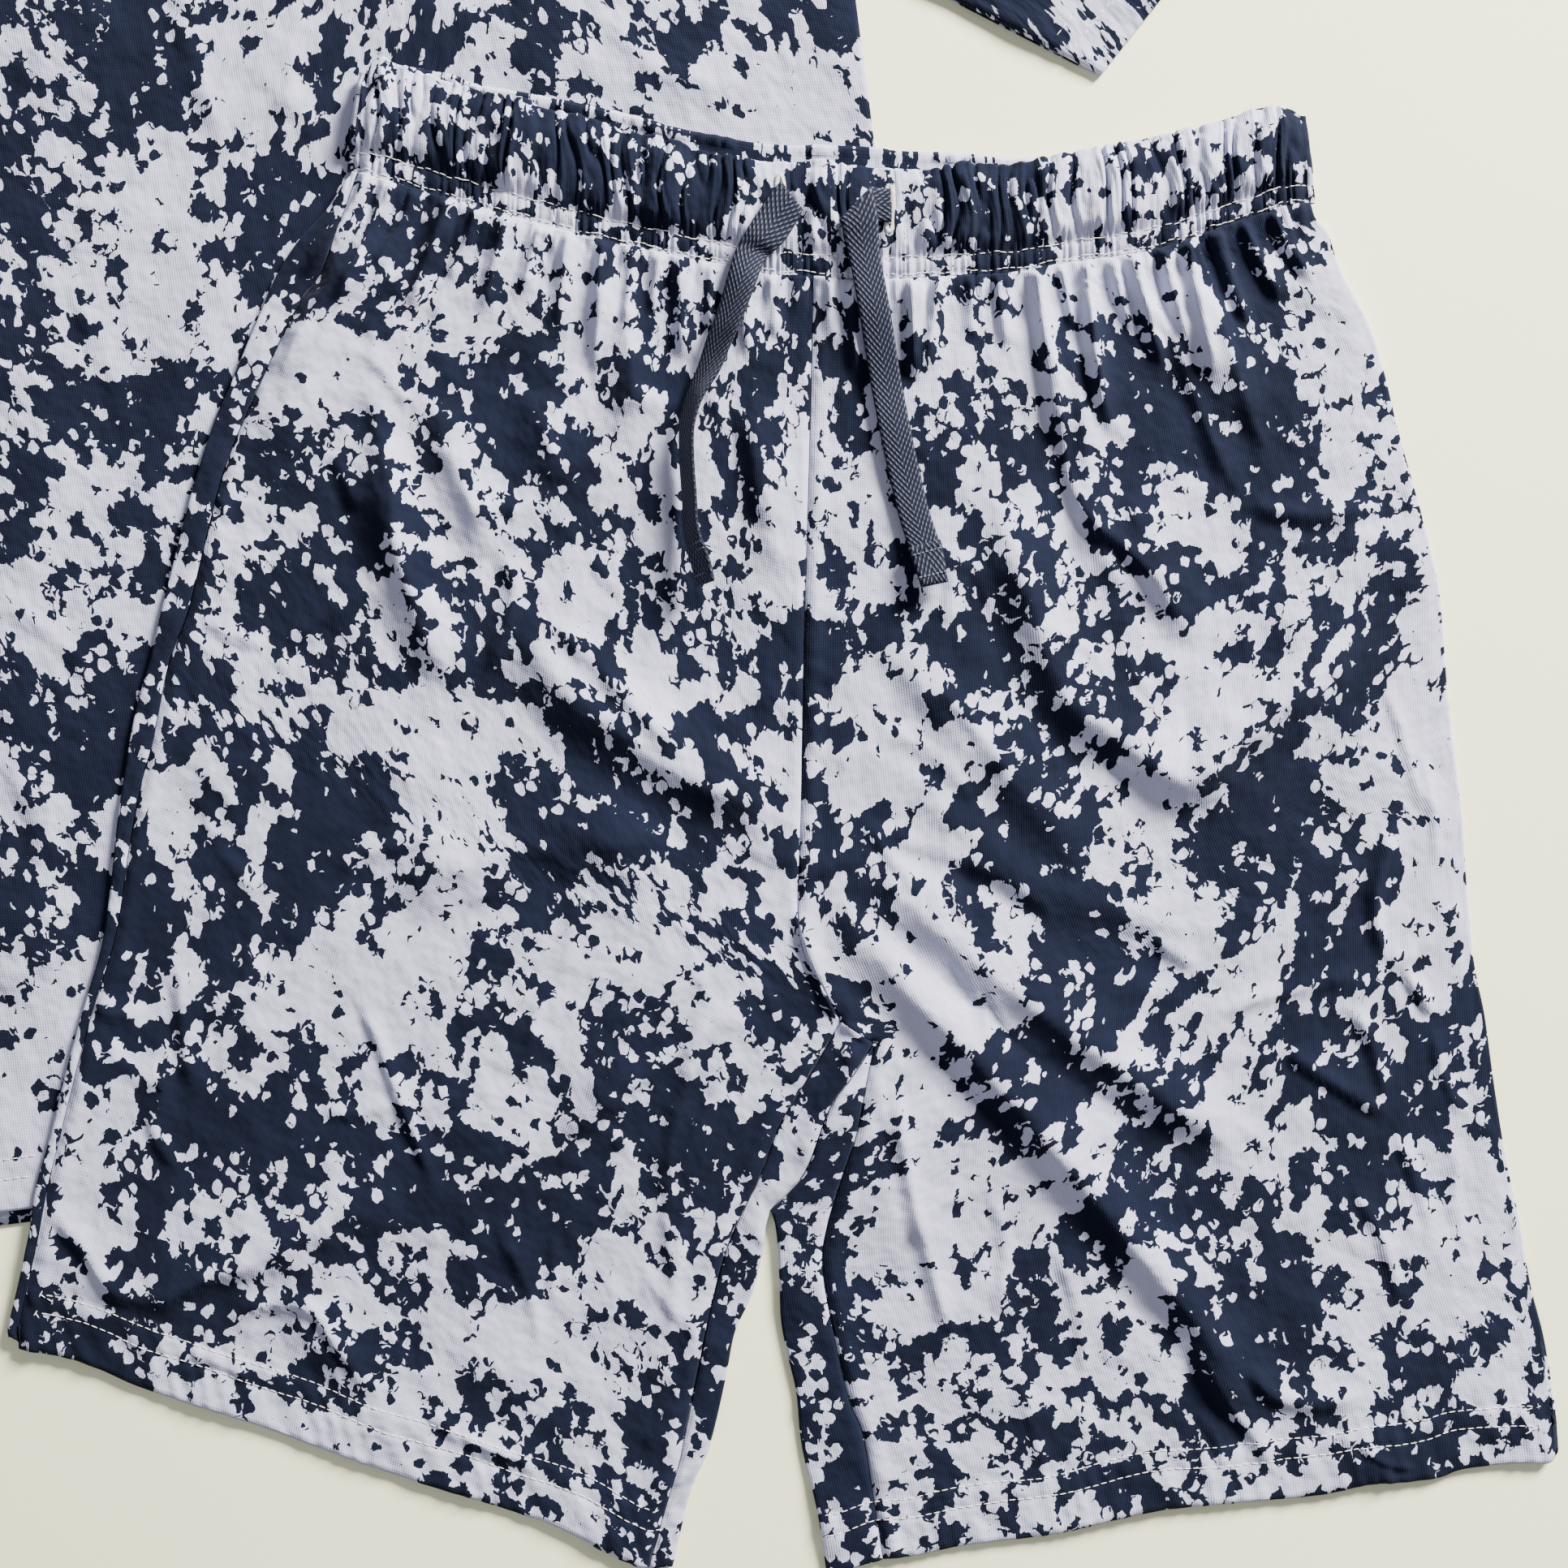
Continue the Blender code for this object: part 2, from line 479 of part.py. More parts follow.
def build_top_body(collection, material):
    """Front and back panels of the top."""
    def front_height(x, y):
        return FRONT_TOP + ridge_sum(x, y, TOP_FOLDS) * clear_of_shorts(x, y)

    mesh = bmesh.new()
    lines = []
    for line in patch(*body_edges(TOP_FRONT_NECK_DROP)):
        placed = [top_to_plan(x, y) for x, y in line]
        lines.append(vertices(mesh, with_height(placed, front_height)))
    add_grid(mesh, lines)
    finish_sheet(mesh, "top_front", material, collection)

    grid = patch(*body_edges(TOP_BACK_NECK_DROP))
    drop = TOP_BACK_HEM_DROP
    grid[-1] = [(x, y - drop) for x, y in grid[-1]]
    rim = grid[0] + [line[-1] for line in grid[1:-1]] + [grid[-1][-1], grid[-1][0]]
    rim += [line[0] for line in reversed(grid[1:-1])]
    mesh = bmesh.new()
    mesh.faces.new(vertices(mesh, with_height([top_to_plan(x, y) for x, y in rim], 0.0)))
    finish_sheet(mesh, "top_back", material, collection)


def build_sleeve(name, side, collection, material):
    """One sleeve: a flattened tube folded along its upper edge, open at the hem."""
    armhole = [(x, y) for x, y in spaced(ARMHOLE, ARMHOLE_ROWS)]
    hem = spaced(SLEEVE_HEM, ARMHOLE_ROWS)
    upper = spaced((armhole[-1], hem[-1]), SLEEVE_COLUMNS)
    lower = spaced((armhole[0], hem[0]), SLEEVE_COLUMNS)
    top_down_left = list(reversed(armhole))
    top_down_right = list(reversed(hem))
    flat = patch(top_down_left, top_down_right, upper, lower, gaps=(3, 0, 0, 0))
    fold_line = flat[0]
    mesh = bmesh.new()
    lines = []
    inset = [lerp(a, b, NOSE_INSET / math.dist(a, b)) for a, b in zip(fold_line, flat[1])]
    back = [flat_row for flat_row in reversed(flat[1:])] + [inset]
    front = [inset] + flat[1:]
    for source, height in [(row, 0.0) for row in back] + [(fold_line, 0.5 * FRONT_TOP)] + [
            (row, FRONT_TOP) for row in front]:
        placed = [top_to_plan(side * x, y) for x, y in source]
        lines.append(vertices(mesh, with_height(placed, height)))
    add_grid(mesh, lines, flip=side < 0)
    finish_sheet(name=name, mesh=mesh, material=material, collection=collection)


def drawn_in(points):
    """The same line with its two ends drawn in by the width of a fold's nose."""
    first = lerp(points[0], points[1], NOSE_INSET / math.dist(points[0], points[1]))
    last = lerp(points[-1], points[-2], NOSE_INSET / math.dist(points[-1], points[-2]))
    return [first, *points[1:-1], last]


def build_neckband(collection, material):
    """Rib band round the neck: a flattened ring folded at the two shoulder points."""
    _, _, front_top, _ = body_edges(TOP_FRONT_NECK_DROP)
    _, _, back_top, _ = body_edges(TOP_BACK_NECK_DROP)
    neck = slice(SHOULDER_COLUMNS, SHOULDER_COLUMNS + NECK_COLUMNS + 1)
    gap = 2.0 * SEAM_HALF_GAP
    tip = (NECK_HALF_WIDTH - 0.62 * NECKBAND_WIDTH, NECK_HEIGHT + 0.72 * NECKBAND_WIDTH)
    front_seam = moved(front_top[neck], gap)
    back_seam = moved(back_top[neck], gap)
    low_front = NECK_HEIGHT - TOP_FRONT_NECK_DROP + NECKBAND_WIDTH
    low_back = NECK_HEIGHT - TOP_BACK_NECK_DROP + NECKBAND_WIDTH
    front_free = spaced(((-tip[0], tip[1]), (-0.064, 0.594), (-0.034, low_front + 0.005), (0.0, low_front),
                         (0.034, low_front + 0.005), (0.064, 0.594), tip), NECK_COLUMNS)
    back_free = spaced(((-tip[0], tip[1]), (-0.040, low_back + 0.004), (0.0, low_back),
                        (0.040, low_back + 0.004), tip), NECK_COLUMNS)
    ring = [(front_seam[0], front_free[0], 0.5 * FRONT_TOP)]
    ring += [(s, f, FRONT_TOP) for s, f in zip(drawn_in(front_seam), drawn_in(front_free))]
    ring += [(front_seam[-1], front_free[-1], 0.5 * FRONT_TOP)]
    ring += [(s, f, 0.0) for s, f in zip(reversed(drawn_in(back_seam)), reversed(drawn_in(back_free)))]
    mesh = bmesh.new()
    columns = []
    for seam, free, height in ring:
        edge = [top_to_plan(*lerp(free, seam, share)) for share in (0.0, 0.5, 1.0)]
        columns.append(vertices(mesh, with_height(edge, height)))
    columns.append(columns[0])
    add_grid(mesh, [[column[row] for column in columns] for row in range(3)])
    finish_sheet(mesh, "neckband", material, collection)


def shorts_edges():
    """All seam and edge lines of the shorts at their shared rows."""
    lines = {
        "front_seam": spaced(FRONT_SEAM, FRONT_SEAM_ROWS),
        "left_inseam": spaced(LEFT_INSEAM, LEG_ROWS),
        "right_inseam": spaced(RIGHT_INSEAM, LEG_ROWS),
        "bridge": spaced(BACK_SEAM_ON_TOP, BRIDGE_ROWS),
        "back_seam": spaced(BACK_SEAM_UNDER, BACK_SEAM_ROWS),
        "left_inner": spaced(LEFT_INNER, INNER_ROWS),
        "right_inner": spaced(RIGHT_INNER, INNER_ROWS),
        "left_outer": spaced(LEFT_OUTER, FRONT_SEAM_ROWS + LEG_ROWS),
        "left_outseam": spaced(LEFT_OUTSEAM, FRONT_SEAM_ROWS + LEG_ROWS),
        "right_outer": spaced(RIGHT_OUTER, FRONT_SEAM_ROWS + LEG_ROWS),
        "right_outer_front": spaced(RIGHT_OUTER, FRONT_SEAM_ROWS + LEG_ROWS + 1),
    }
    return lines


def hem_between(hem, start, end, intervals):
    """Part of a hem between two points that lie near it."""
    _, first = distance_along(start[0], start[1], hem)
    _, last = distance_along(end[0], end[1], hem)
    dense = spaced(hem, 200)
    points = [along(dense, first + (last - first) * step / intervals) for step in range(intervals + 1)]
    points[0], points[-1] = tuple(start), tuple(end)
    return points


def build_shorts_front(lines, collection, material):
    """The two front panels of the shorts."""
    left_right_edge = lines["front_seam"] + lines["left_inseam"][1:]
    band_left = spaced(BAND_LOW_LEFT, 200)
    first = distance_along(*lines["left_outseam"][0], band_left)[1]
    top = [along(band_left, first + (1.0 - first) * step / FRONT_COLUMNS)
           for step in range(FRONT_COLUMNS + 1)]
    top[0] = lines["left_outseam"][0]
    bottom = hem_between(LEFT_HEM, lines["left_outseam"][-1], lines["left_inseam"][-1], FRONT_COLUMNS)
    grid = patch(lines["left_outseam"], left_right_edge, top, bottom, gaps=(1, 1, 1, 0))
    mesh = bmesh.new()
    add_grid(mesh, [vertices(mesh, with_height(line, shorts_top)) for line in grid])
    finish_sheet(mesh, "shorts_front_left", material, collection)

    right_left_edge = lines["front_seam"] + lines["right_inseam"]
    top = spaced(BAND_LOW_RIGHT, FRONT_COLUMNS + 2)
    bottom = hem_between(RIGHT_HEM, lines["right_inseam"][-1], RIGHT_HEM[-1], FRONT_COLUMNS + 2)
    grid = patch(right_left_edge, lines["right_outer_front"], top, bottom, gaps=(1, 0, 1, 0))
    mesh = bmesh.new()
    add_grid(mesh, [vertices(mesh, with_height(line, shorts_top)) for line in grid])
    finish_sheet(mesh, "shorts_front_right", material, collection)


def nose_height(x, y):
    """Height of the outermost line of a fold between the lower and the upper layer."""
    return 0.5 * (shorts_top(x, y) + base_lift(x, y))


def build_shorts_back_left(lines, collection, material):
    """Back panel of the left leg: it lies below, and rolls over both edges to the seams on top."""
    outer = lines["left_outer"]
    outer_in = moved(outer, NOSE_INSET)
    under_right = lines["back_seam"] + lines["left_inner"][1:]
    inner_in = moved(lines["left_inner"], -NOSE_INSET)
    under_right_in = lines["back_seam"][:-1] + inner_in
    top = spaced((outer_in[0], *BAND_LOW_LEFT[1:]), BACK_COLUMNS)
    bottom = hem_between(LEFT_HEM, outer_in[-1], under_right_in[-1], BACK_COLUMNS)
    under = patch(outer_in, under_right_in, top, bottom, gaps=(0, 1, 2, 0))
    rows = len(outer) - 1
    gap_outseam = moved(lines["left_outseam"], -SEAM_HALF_GAP)
    mesh = bmesh.new()
    full = []
    for row in range(rows + 1):
        strip = [lerp(gap_outseam[row], outer_in[row], step / WRAP_COLUMNS)
                 for step in range(WRAP_COLUMNS + 1)]
        line = with_height(strip, shorts_top)
        line += with_height([outer[row]], nose_height)
        line += with_height(under[row], base_lift)
        full.append(vertices(mesh, line))
    add_grid(mesh, full, flip=True)

    right_edge = lines["bridge"][:-1] + inner_in
    tongue = []
    left_edge = moved(lines["left_inseam"], SEAM_HALF_GAP)
    bridge_edge = moved(right_edge, -2.0 * SEAM_HALF_GAP)
    first_inner = len(lines["bridge"]) - 1
    for row in range(LEG_ROWS + 1):
        outer_point = bridge_edge[row] if row <= first_inner else right_edge[row]
        strip = [lerp(outer_point, left_edge[row], step / WRAP_COLUMNS) for step in range(WRAP_COLUMNS + 1)]
        if row == 0:
            strip = [(x - 0.0003, y - 0.0003) for x, y in strip]
        tongue.append(vertices(mesh, with_height(strip, shorts_top)))
    add_grid(mesh, tongue, flip=True)
    join = []
    for step in range(INNER_ROWS + 1):
        nose = vertices(mesh, with_height([moved(lines["left_inner"], -SEAM_HALF_GAP)[step]], nose_height))[0]
        join.append([full[rows - INNER_ROWS + step][-1], nose, tongue[first_inner + step][0]])
    add_grid(mesh, join, flip=True)
    finish_sheet(mesh, "shorts_back_left", material, collection)


def build_shorts_back_right(lines, collection, material):
    """Back panel of the right leg: it lies below, and rolls over the inner edge to the inseam."""
    outer = lines["right_outer"]
    inner_in = moved(lines["right_inner"], NOSE_INSET)
    under_left_in = lines["back_seam"][:-1] + inner_in
    top = spaced(BAND_LOW_RIGHT, BACK_COLUMNS)
    bottom = hem_between(RIGHT_HEM, under_left_in[-1], RIGHT_HEM[-1], BACK_COLUMNS)
    under = patch(under_left_in, outer, top, bottom, gaps=(1, 0, 2, 0))
    rows = len(outer) - 1
    mesh = bmesh.new()
    full = [vertices(mesh, with_height(line, base_lift)) for line in under]
    add_grid(mesh, full, flip=True)

    left_edge = lines["bridge"][:-1] + inner_in
    bridge_edge = moved(left_edge, 2.0 * SEAM_HALF_GAP)
    right_edge = moved(lines["right_inseam"], -SEAM_HALF_GAP)
    first_inner = len(lines["bridge"]) - 1
    tongue = []
    for row in range(LEG_ROWS + 1):
        outer_point = bridge_edge[row] if row <= first_inner else left_edge[row]
        strip = [lerp(outer_point, right_edge[row], step / WRAP_COLUMNS) for step in range(WRAP_COLUMNS + 1)]
        if row == 0:
            strip = [(CROTCH[0] - 0.0018 + 0.0004 * step, CROTCH[1] - 0.0030)
                     for step in range(WRAP_COLUMNS + 1)]
        tongue.append(vertices(mesh, with_height(strip, shorts_top)))
    add_grid(mesh, tongue)
    join = []
    for step in range(INNER_ROWS + 1):
        nose = vertices(mesh, with_height([moved(lines["right_inner"], SEAM_HALF_GAP)[step]], nose_height))[0]
        join.append([full[rows - INNER_ROWS + step][0], nose, tongue[first_inner + step][0]])
    add_grid(mesh, join)
    finish_sheet(mesh, "shorts_back_right", material, collection)


def band_top(x, y, wave):
    """Upper face of the waistband's front wall."""
    return base_lift(x, y) + BAND_TOP + wave


def build_waistband(collection, material):
    """Gathered casing round the elastic: a flattened ring, open above and below."""
    low = spaced(BAND_LOW, 2 * GATHERS)
    front_top = spaced(BAND_FRONT_TOP, 2 * GATHERS)
    back_count = 24
    back_low = spaced(BAND_LOW, back_count)
    back_top = spaced(BAND_BACK_TOP, back_count)
    low = moved(low, SEAM_HALF_GAP)
    back_low = moved(back_low, SEAM_HALF_GAP)
    mesh = bmesh.new()
    rows = []
    for share, depth in BAND_ROWS:
        line = []
        front = [lerp(a, b, share) for a, b in zip(low, front_top)]
        start, end = front[0], front[-1]
        line.append((*start, base_lift(*start) + 0.5 * BAND_TOP))
        inset_start = lerp(front[0], front[1], BAND_NOSE_INSET / math.dist(front[0], front[1]))
        line.append((*inset_start, band_top(*inset_start, 0.0)))
        for index, (x, y) in enumerate(front[2:-2], start=2):
            uneven = 0.75 + 0.25 * math.sin(1.7 * index) * math.cos(0.9 * index)
            wave = GATHER_DEPTH * depth * (index % 2) * uneven * cord_zone(x)
            line.append((x, y, band_top(x, y, wave)))
        inset_end = lerp(front[-1], front[-2], BAND_NOSE_INSET / math.dist(front[-1], front[-2]))
        line.append((*inset_end, band_top(*inset_end, 0.0)))
        line.append((*end, base_lift(*end) + 0.5 * BAND_TOP))
        back = [lerp(a, b, share) for a, b in zip(back_low, back_top)]
        back[0] = lerp(back[0], back[1], BAND_NOSE_INSET / math.dist(back[0], back[1]))
        back[-1] = lerp(back[-1], back[-2], BAND_NOSE_INSET / math.dist(back[-1], back[-2]))
        line += [(x, y, base_lift(x, y)) for x, y in reversed(back)]
        verts = vertices(mesh, line)
        rows.append(verts + verts[:1])
    add_grid(mesh, list(reversed(rows)))
    finish_sheet(mesh, "waistband", material, collection, thickness=BAND_WALL)


def build_buttonhole(name, place, collection, material):
    """Oval ring of raised stitches on the waistband."""
    segments = 20
    mesh = bmesh.new()
    rings = []
    for grow in (0.0, 1.0):
        ring = []
        for step in range(segments):
            angle = 2.0 * math.pi * step / segments
            half_width = 0.5 * BUTTONHOLE_WIDTH - BUTTONHOLE_STITCH * (1.0 - grow)
            half_length = 0.5 * BUTTONHOLE_LENGTH - BUTTONHOLE_STITCH * (1.0 - grow)
            x = place[0] + half_width * math.cos(angle)
            y = place[1] + half_length * math.sin(angle)
            ring.append((x, y, band_top(x, y, 0.0) + LAYER_GAP + BUTTONHOLE_RAISE))
        verts = vertices(mesh, ring)
        rings.append(verts + verts[:1])
    add_grid(mesh, rings)
    finish_sheet(mesh, name, material, collection, thickness=BUTTONHOLE_RAISE)


def tape_floor(x, y):
    """Highest face under the tape."""
    low_gap, _ = distance_along(x, y, BAND_LOW)
    on_band = y > 0.150 and distance_along(x, y - 0.030, BAND_LOW)[0] < 0.034
    under = shorts_top(x, y)
    if on_band or low_gap < 0.006:
        under = max(under, band_top(x, y, 0.6 * GATHER_DEPTH if cord_zone(x) > 0.0 else 0.0))
    return under


def build_tape(name, stations, collection, material):
    """One free end of the drawcord: a flat tape laid over the cloth."""
    route = spaced(stations, TAPE_STATIONS)
    sides = normals_left(route)
    mesh = bmesh.new()
    lines = []
    half = 0.5 * TAPE_WIDTH
    floors = []
    for (x, y, tilt), (nx, ny) in zip(route, sides):
        reach = half * math.cos(math.radians(tilt))
        probe = (-1.0, -0.5, 0.0, 0.5, 1.0)
        floors.append(max(tape_floor(x + nx * reach * share, y + ny * reach * share) for share in probe))
    eased = [max(floors[max(i - 1, 0): i + 2]) for i in range(len(floors))]
    eased = [sum(eased[max(i - 1, 0): i + 2]) / len(eased[max(i - 1, 0): i + 2]) for i in range(len(eased))]
    for (x, y, tilt), (nx, ny), floor, own in zip(route, sides, eased, floors):
        angle = math.radians(tilt)
        reach, rise = half * math.cos(angle), half * math.sin(angle)
        low = max(floor, own) + TAPE_CLEARANCE + TAPE_THICKNESS
        line = []
        for share in (-1.0, 0.0, 1.0):
            line.append((x + nx * reach * share, y + ny * reach * share, low + rise * (1.0 + share)))
        lines.append(vertices(mesh, line))
    add_grid(mesh, lines)
    finish_sheet(mesh, name, material, collection, thickness=TAPE_THICKNESS)


def main():
    """Clear the scene and build every piece of the set."""
    for old in list(bpy.data.objects):
        bpy.data.objects.remove(old, do_unlink=True)
    collection = bpy.data.collections.new("pyjama_set")
    bpy.context.scene.collection.children.link(collection)
    finishes = {
        "top": new_material("top_jersey", PRINTED_JERSEY),
        "rib": new_material("neck_rib", RIB_JERSEY),
        "shorts": new_material("shorts_jersey", PRINTED_JERSEY),
        "band": new_material("waistband_jersey", PRINTED_JERSEY),
        "tape": new_material("drawcord_tape", TAPE_YARN),
        "stitch": new_material("buttonhole_thread", STITCH_YARN),
    }
    build_top_body(collection, finishes["top"])
    build_sleeve("sleeve_left", -1.0, collection, finishes["top"])
    build_sleeve("sleeve_right", 1.0, collection, finishes["top"])
    build_neckband(collection, finishes["rib"])
    lines = shorts_edges()
    build_shorts_front(lines, collection, finishes["shorts"])
    build_shorts_back_left(lines, collection, finishes["shorts"])
    build_shorts_back_right(lines, collection, finishes["shorts"])
    build_waistband(collection, finishes["band"])
    for name, place in BUTTONHOLES.items():
        build_buttonhole(name, place, collection, finishes["stitch"])
    build_tape("drawcord_left", TAPE_LEFT, collection, finishes["tape"])
    build_tape("drawcord_right", TAPE_RIGHT, collection, finishes["tape"])


main()
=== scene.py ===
"""Looks of a two-piece summer pyjama set laid flat: a short-sleeved jersey top and shorts.

Metres, +Z up. Plan tables are in millimetres in the shorts' layout frame, whose origin is under the
middle of the camera's view; PLAN_SHIFT moves them to the set's frame. Left and right are the viewer's.
"""

import logging
import math
from dataclasses import dataclass, field
from enum import Enum
from typing import Any, Sequence

import bpy
import numpy as np
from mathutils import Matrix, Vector


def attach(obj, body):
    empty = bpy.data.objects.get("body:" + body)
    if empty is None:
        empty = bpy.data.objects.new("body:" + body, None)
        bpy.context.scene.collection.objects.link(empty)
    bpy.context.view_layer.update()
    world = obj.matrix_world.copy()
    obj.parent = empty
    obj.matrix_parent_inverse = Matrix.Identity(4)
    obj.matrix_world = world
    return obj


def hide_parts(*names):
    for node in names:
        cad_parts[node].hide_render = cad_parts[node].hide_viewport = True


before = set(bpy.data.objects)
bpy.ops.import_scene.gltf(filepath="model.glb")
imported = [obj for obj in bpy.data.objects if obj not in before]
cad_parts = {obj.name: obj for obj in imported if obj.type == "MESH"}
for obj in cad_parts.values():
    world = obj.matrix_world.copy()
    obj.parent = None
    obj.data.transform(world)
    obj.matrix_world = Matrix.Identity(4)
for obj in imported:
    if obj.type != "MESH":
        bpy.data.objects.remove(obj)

LOG = logging.getLogger("pyjama_set")
Array = np.ndarray
Socket = bpy.types.NodeSocket
Table = Sequence[Sequence[float]]

MM = 0.001
PLAN_SHIFT = np.array((0.1960, -0.1251))
CLOTH_WALL = 0.0008
LAYER_TOP = 0.0026
SEAM_GAP = 0.00010
STITCH_LIFT = 0.00012  # of a sewn row's middle over the cloth
NOSE_INSET = 0.0013
BAND_WALL = 0.0022
BAND_TOP = 0.0047
BAND_LENGTH = 0.309
BAND_WIDTH = 0.037
BAND_CUT = (0.424, 0.0372)  # length and width of the casing as cut
CROTCH_SHARE = 13.0 / 28.0  # share of a leg's rows down to the crotch
INNER_SHARE = 18.0 / 28.0  # and down to where the legs part
LIGHT_SIDE = np.array((0.62, 0.78))
TOP_ORIGIN = (-0.1629, -0.1280)
TOP_TURN = math.radians(7.5)
TOP_HALF_WIDTH = 0.235
TOP_LIFT = 0.0027
TOP_LIFT_MARGIN = 0.004
TOP_LIFT_FADE = 0.060
ARMHOLE = MM * np.array(((235, 375), (214, 402), (201, 445), (198, 500), (200, 545), (205, 580)))
SLEEVE_HEM = MM * np.array(((311.4, 322.4), (429.7, 437.4)))
BUTTONHOLES = MM * np.array(((-1.2, 190.3), (34.2, 186.8)))
# Where each cut lies in the endless print
PRINT_AT = {
    "front_left": (0.31, 0.77), "front_right": (1.53, 0.42), "back_left": (2.9, 1.9),
    "back_right": (4.3, 2.6), "tongue": (6.1, 3.3), "band_back": (0.7, 5.0),
    "band_ends": (0.0, 5.5), "lips": (0.05, 0.4), "top_front": (0.47, 8.13),
    "top_back": (9.1, 8.9), "sleeve": (11.3, 9.6),
}

LEFT_OUTER = MM * np.array((
    (-141, 200), (-149.5, 187.5), (-158.5, 177.5), (-165.5, 167), (-172.5, 151), (-181, 130.5),
    (-186, 119), (-192.5, 99), (-202, 63), (-206.5, 43.5), (-212.5, 21.5), (-217.5, -9.5), (-219.5, -28.5),
    (-223, -52.5), (-229, -73), (-234, -91.5), (-240, -115.5), (-244.5, -131.5), (-247, -147.5),
    (-251, -165), (-254, -177), (-254, -181),
))
LEFT_OUTSEAM = MM * np.array((
    (-139, 199.5), (-149.5, 170), (-157.5, 158.5), (-167, 139.5), (-175.5, 121), (-183, 102), (-189, 79),
    (-194.5, 56.5), (-201, 39), (-206.5, 12.5), (-209.5, 2), (-214, -22.5), (-216, -36.5), (-219, -52.5),
    (-225.5, -73), (-230.5, -91.5), (-236.5, -115.5), (-240.5, -131.5), (-243.5, -147.5), (-247.5, -165),
    (-250, -177), (-250, -182.5),
))
RIGHT_OUTER = MM * np.array((
    (172.5, 190.5), (174, 185.5), (178.5, 180.5), (182.5, 168.5), (191, 152.5), (196.5, 136.5), (201, 118),
    (205, 103.5), (210.5, 83.5), (214.5, 66), (216, 53), (218, 27), (221, 2), (222.5, -11.5),
    (223.5, -26.5), (225.5, -51.5), (227.5, -64.5), (230, -76.5), (233.5, -102.5), (237, -123.5),
    (240.5, -140), (245, -164.5), (249, -180), (251.5, -194.5), (253, -206), (254, -218.5),
))
FRONT_SEAM = MM * np.array((
    (9.5, 165.5), (8, 97.5), (6.5, 49.5), (5.5, -9), (4.5, -43.5), (7.5, -58), (12.5, -66), (18.5, -77.5),
))
LEFT_INSEAM = MM * np.array((
    (18.5, -77.5), (6.5, -98), (-1, -110.5), (-8, -128.5), (-16, -145), (-20.5, -157.5), (-25, -176),
    (-27.5, -188.5), (-31.5, -207), (-34, -221), (-38, -234.5), (-44.5, -257),
))
RIGHT_INSEAM = MM * np.array((
    (29.5, -84.5), (26.5, -99.5), (23.5, -115), (18.5, -129.5), (14, -145), (12.5, -157), (15, -174),
    (21, -200.5), (26, -213.5), (30, -238), (32.5, -254),
))
BACK_SEAM_ON_TOP = MM * np.array((
    (29.5, -84.5), (22.5, -95), (15, -105.5), (7.5, -125.5), (1.5, -133.5), (-4.5, -139.5),
))
BACK_SEAM_UNDER = MM * np.array((
    (9.5, 165.5), (9.5, 71), (9, -9), (6.5, -75.5), (-4.5, -139.5),
))
LEFT_INNER = MM * np.array((
    (-4.5, -139.5), (-6, -145), (-6.8, -152.5), (-10.5, -167.5), (-16, -179.5), (-18.7, -193), (-22, -208),
    (-25, -219), (-28.5, -226.5), (-31.5, -235), (-33.5, -243.5), (-36.5, -256.5),
))
RIGHT_INNER = MM * np.array((
    (-4.5, -139.5), (-3.2, -143), (-2.2, -150), (-1.5, -163), (-1, -176), (1.2, -187.5), (4, -199.5),
    (5.2, -213), (7, -223), (9.5, -232.5), (11.5, -242), (14, -259),
))
# Hems and edges of the waistband, from left to right
LEFT_HEM = MM * np.array((
    (-254, -181), (-250, -184.8), (-236.5, -187.5), (-227, -190.5), (-212.5, -197), (-201, -201),
    (-180.5, -207.5), (-164.5, -213), (-143, -221), (-119, -229), (-97.5, -235.5), (-75.5, -243),
    (-64.5, -248.5), (-55, -253.5), (-44.5, -257), (-36.5, -256.5),
))
RIGHT_HEM = MM * np.array((
    (14, -259), (23, -257.5), (32.5, -254), (44.5, -252.5), (55.5, -250), (70.5, -248), (89.5, -245.5),
    (120, -238.5), (142.5, -236), (174.5, -233), (191.5, -229.5), (205.5, -228.5), (215.5, -227),
    (222.5, -224.5), (240, -222.5), (250, -222.5), (254, -218.5),
))
BAND_LOW_LEFT = MM * np.array((
    (-141, 200), (-130.5, 197), (-110, 191), (-94, 186.5), (-79.5, 182.5), (-64.5, 178.5), (-53, 176),
    (-41, 173.5), (-30.5, 171), (-18, 169), (-4, 166), (9.5, 165.5),
))
BAND_LOW_RIGHT = MM * np.array((
    (9.5, 165.5), (21.5, 164.5), (44.5, 165), (59.5, 166), (77.5, 167.5), (92.5, 170.5), (110.5, 173),
    (126, 176), (138.5, 180.5), (155, 186), (164, 189), (172.5, 190.5),
))
BAND_FRONT_TOP = MM * np.array((
    (-136.5, 231), (-131.5, 235), (-123.5, 233), (-109, 228.5), (-97, 224.5), (-82.5, 221), (-64.5, 216.5),
    (-53, 212.5), (-34.5, 208), (-15, 203.5), (3, 202.5), (26.5, 201), (48, 200), (59.5, 201.5),
    (72.5, 202), (83.5, 203.5), (93, 205.5), (105.5, 207.5), (123, 211.5), (136, 214), (146, 217),
    (157.5, 220.5), (165.5, 220.5), (169, 218.5),
))
BAND_BACK_TOP = MM * np.array((
    (-136.5, 231), (-131.5, 236.2), (-123.5, 234.2), (-108, 231.5), (-100, 228), (-87.5, 226.2),
    (-71, 223), (-51, 218.8), (-38.5, 215), (-23.5, 212), (-4, 209), (27.5, 208.2), (36.5, 207), (57, 206),
    (72.5, 205), (83.5, 205.2), (93, 206.5), (105.5, 208.5), (123, 212.5), (136, 215), (146, 218),
    (157.5, 221.5), (165.5, 221), (169, 218.5),
))

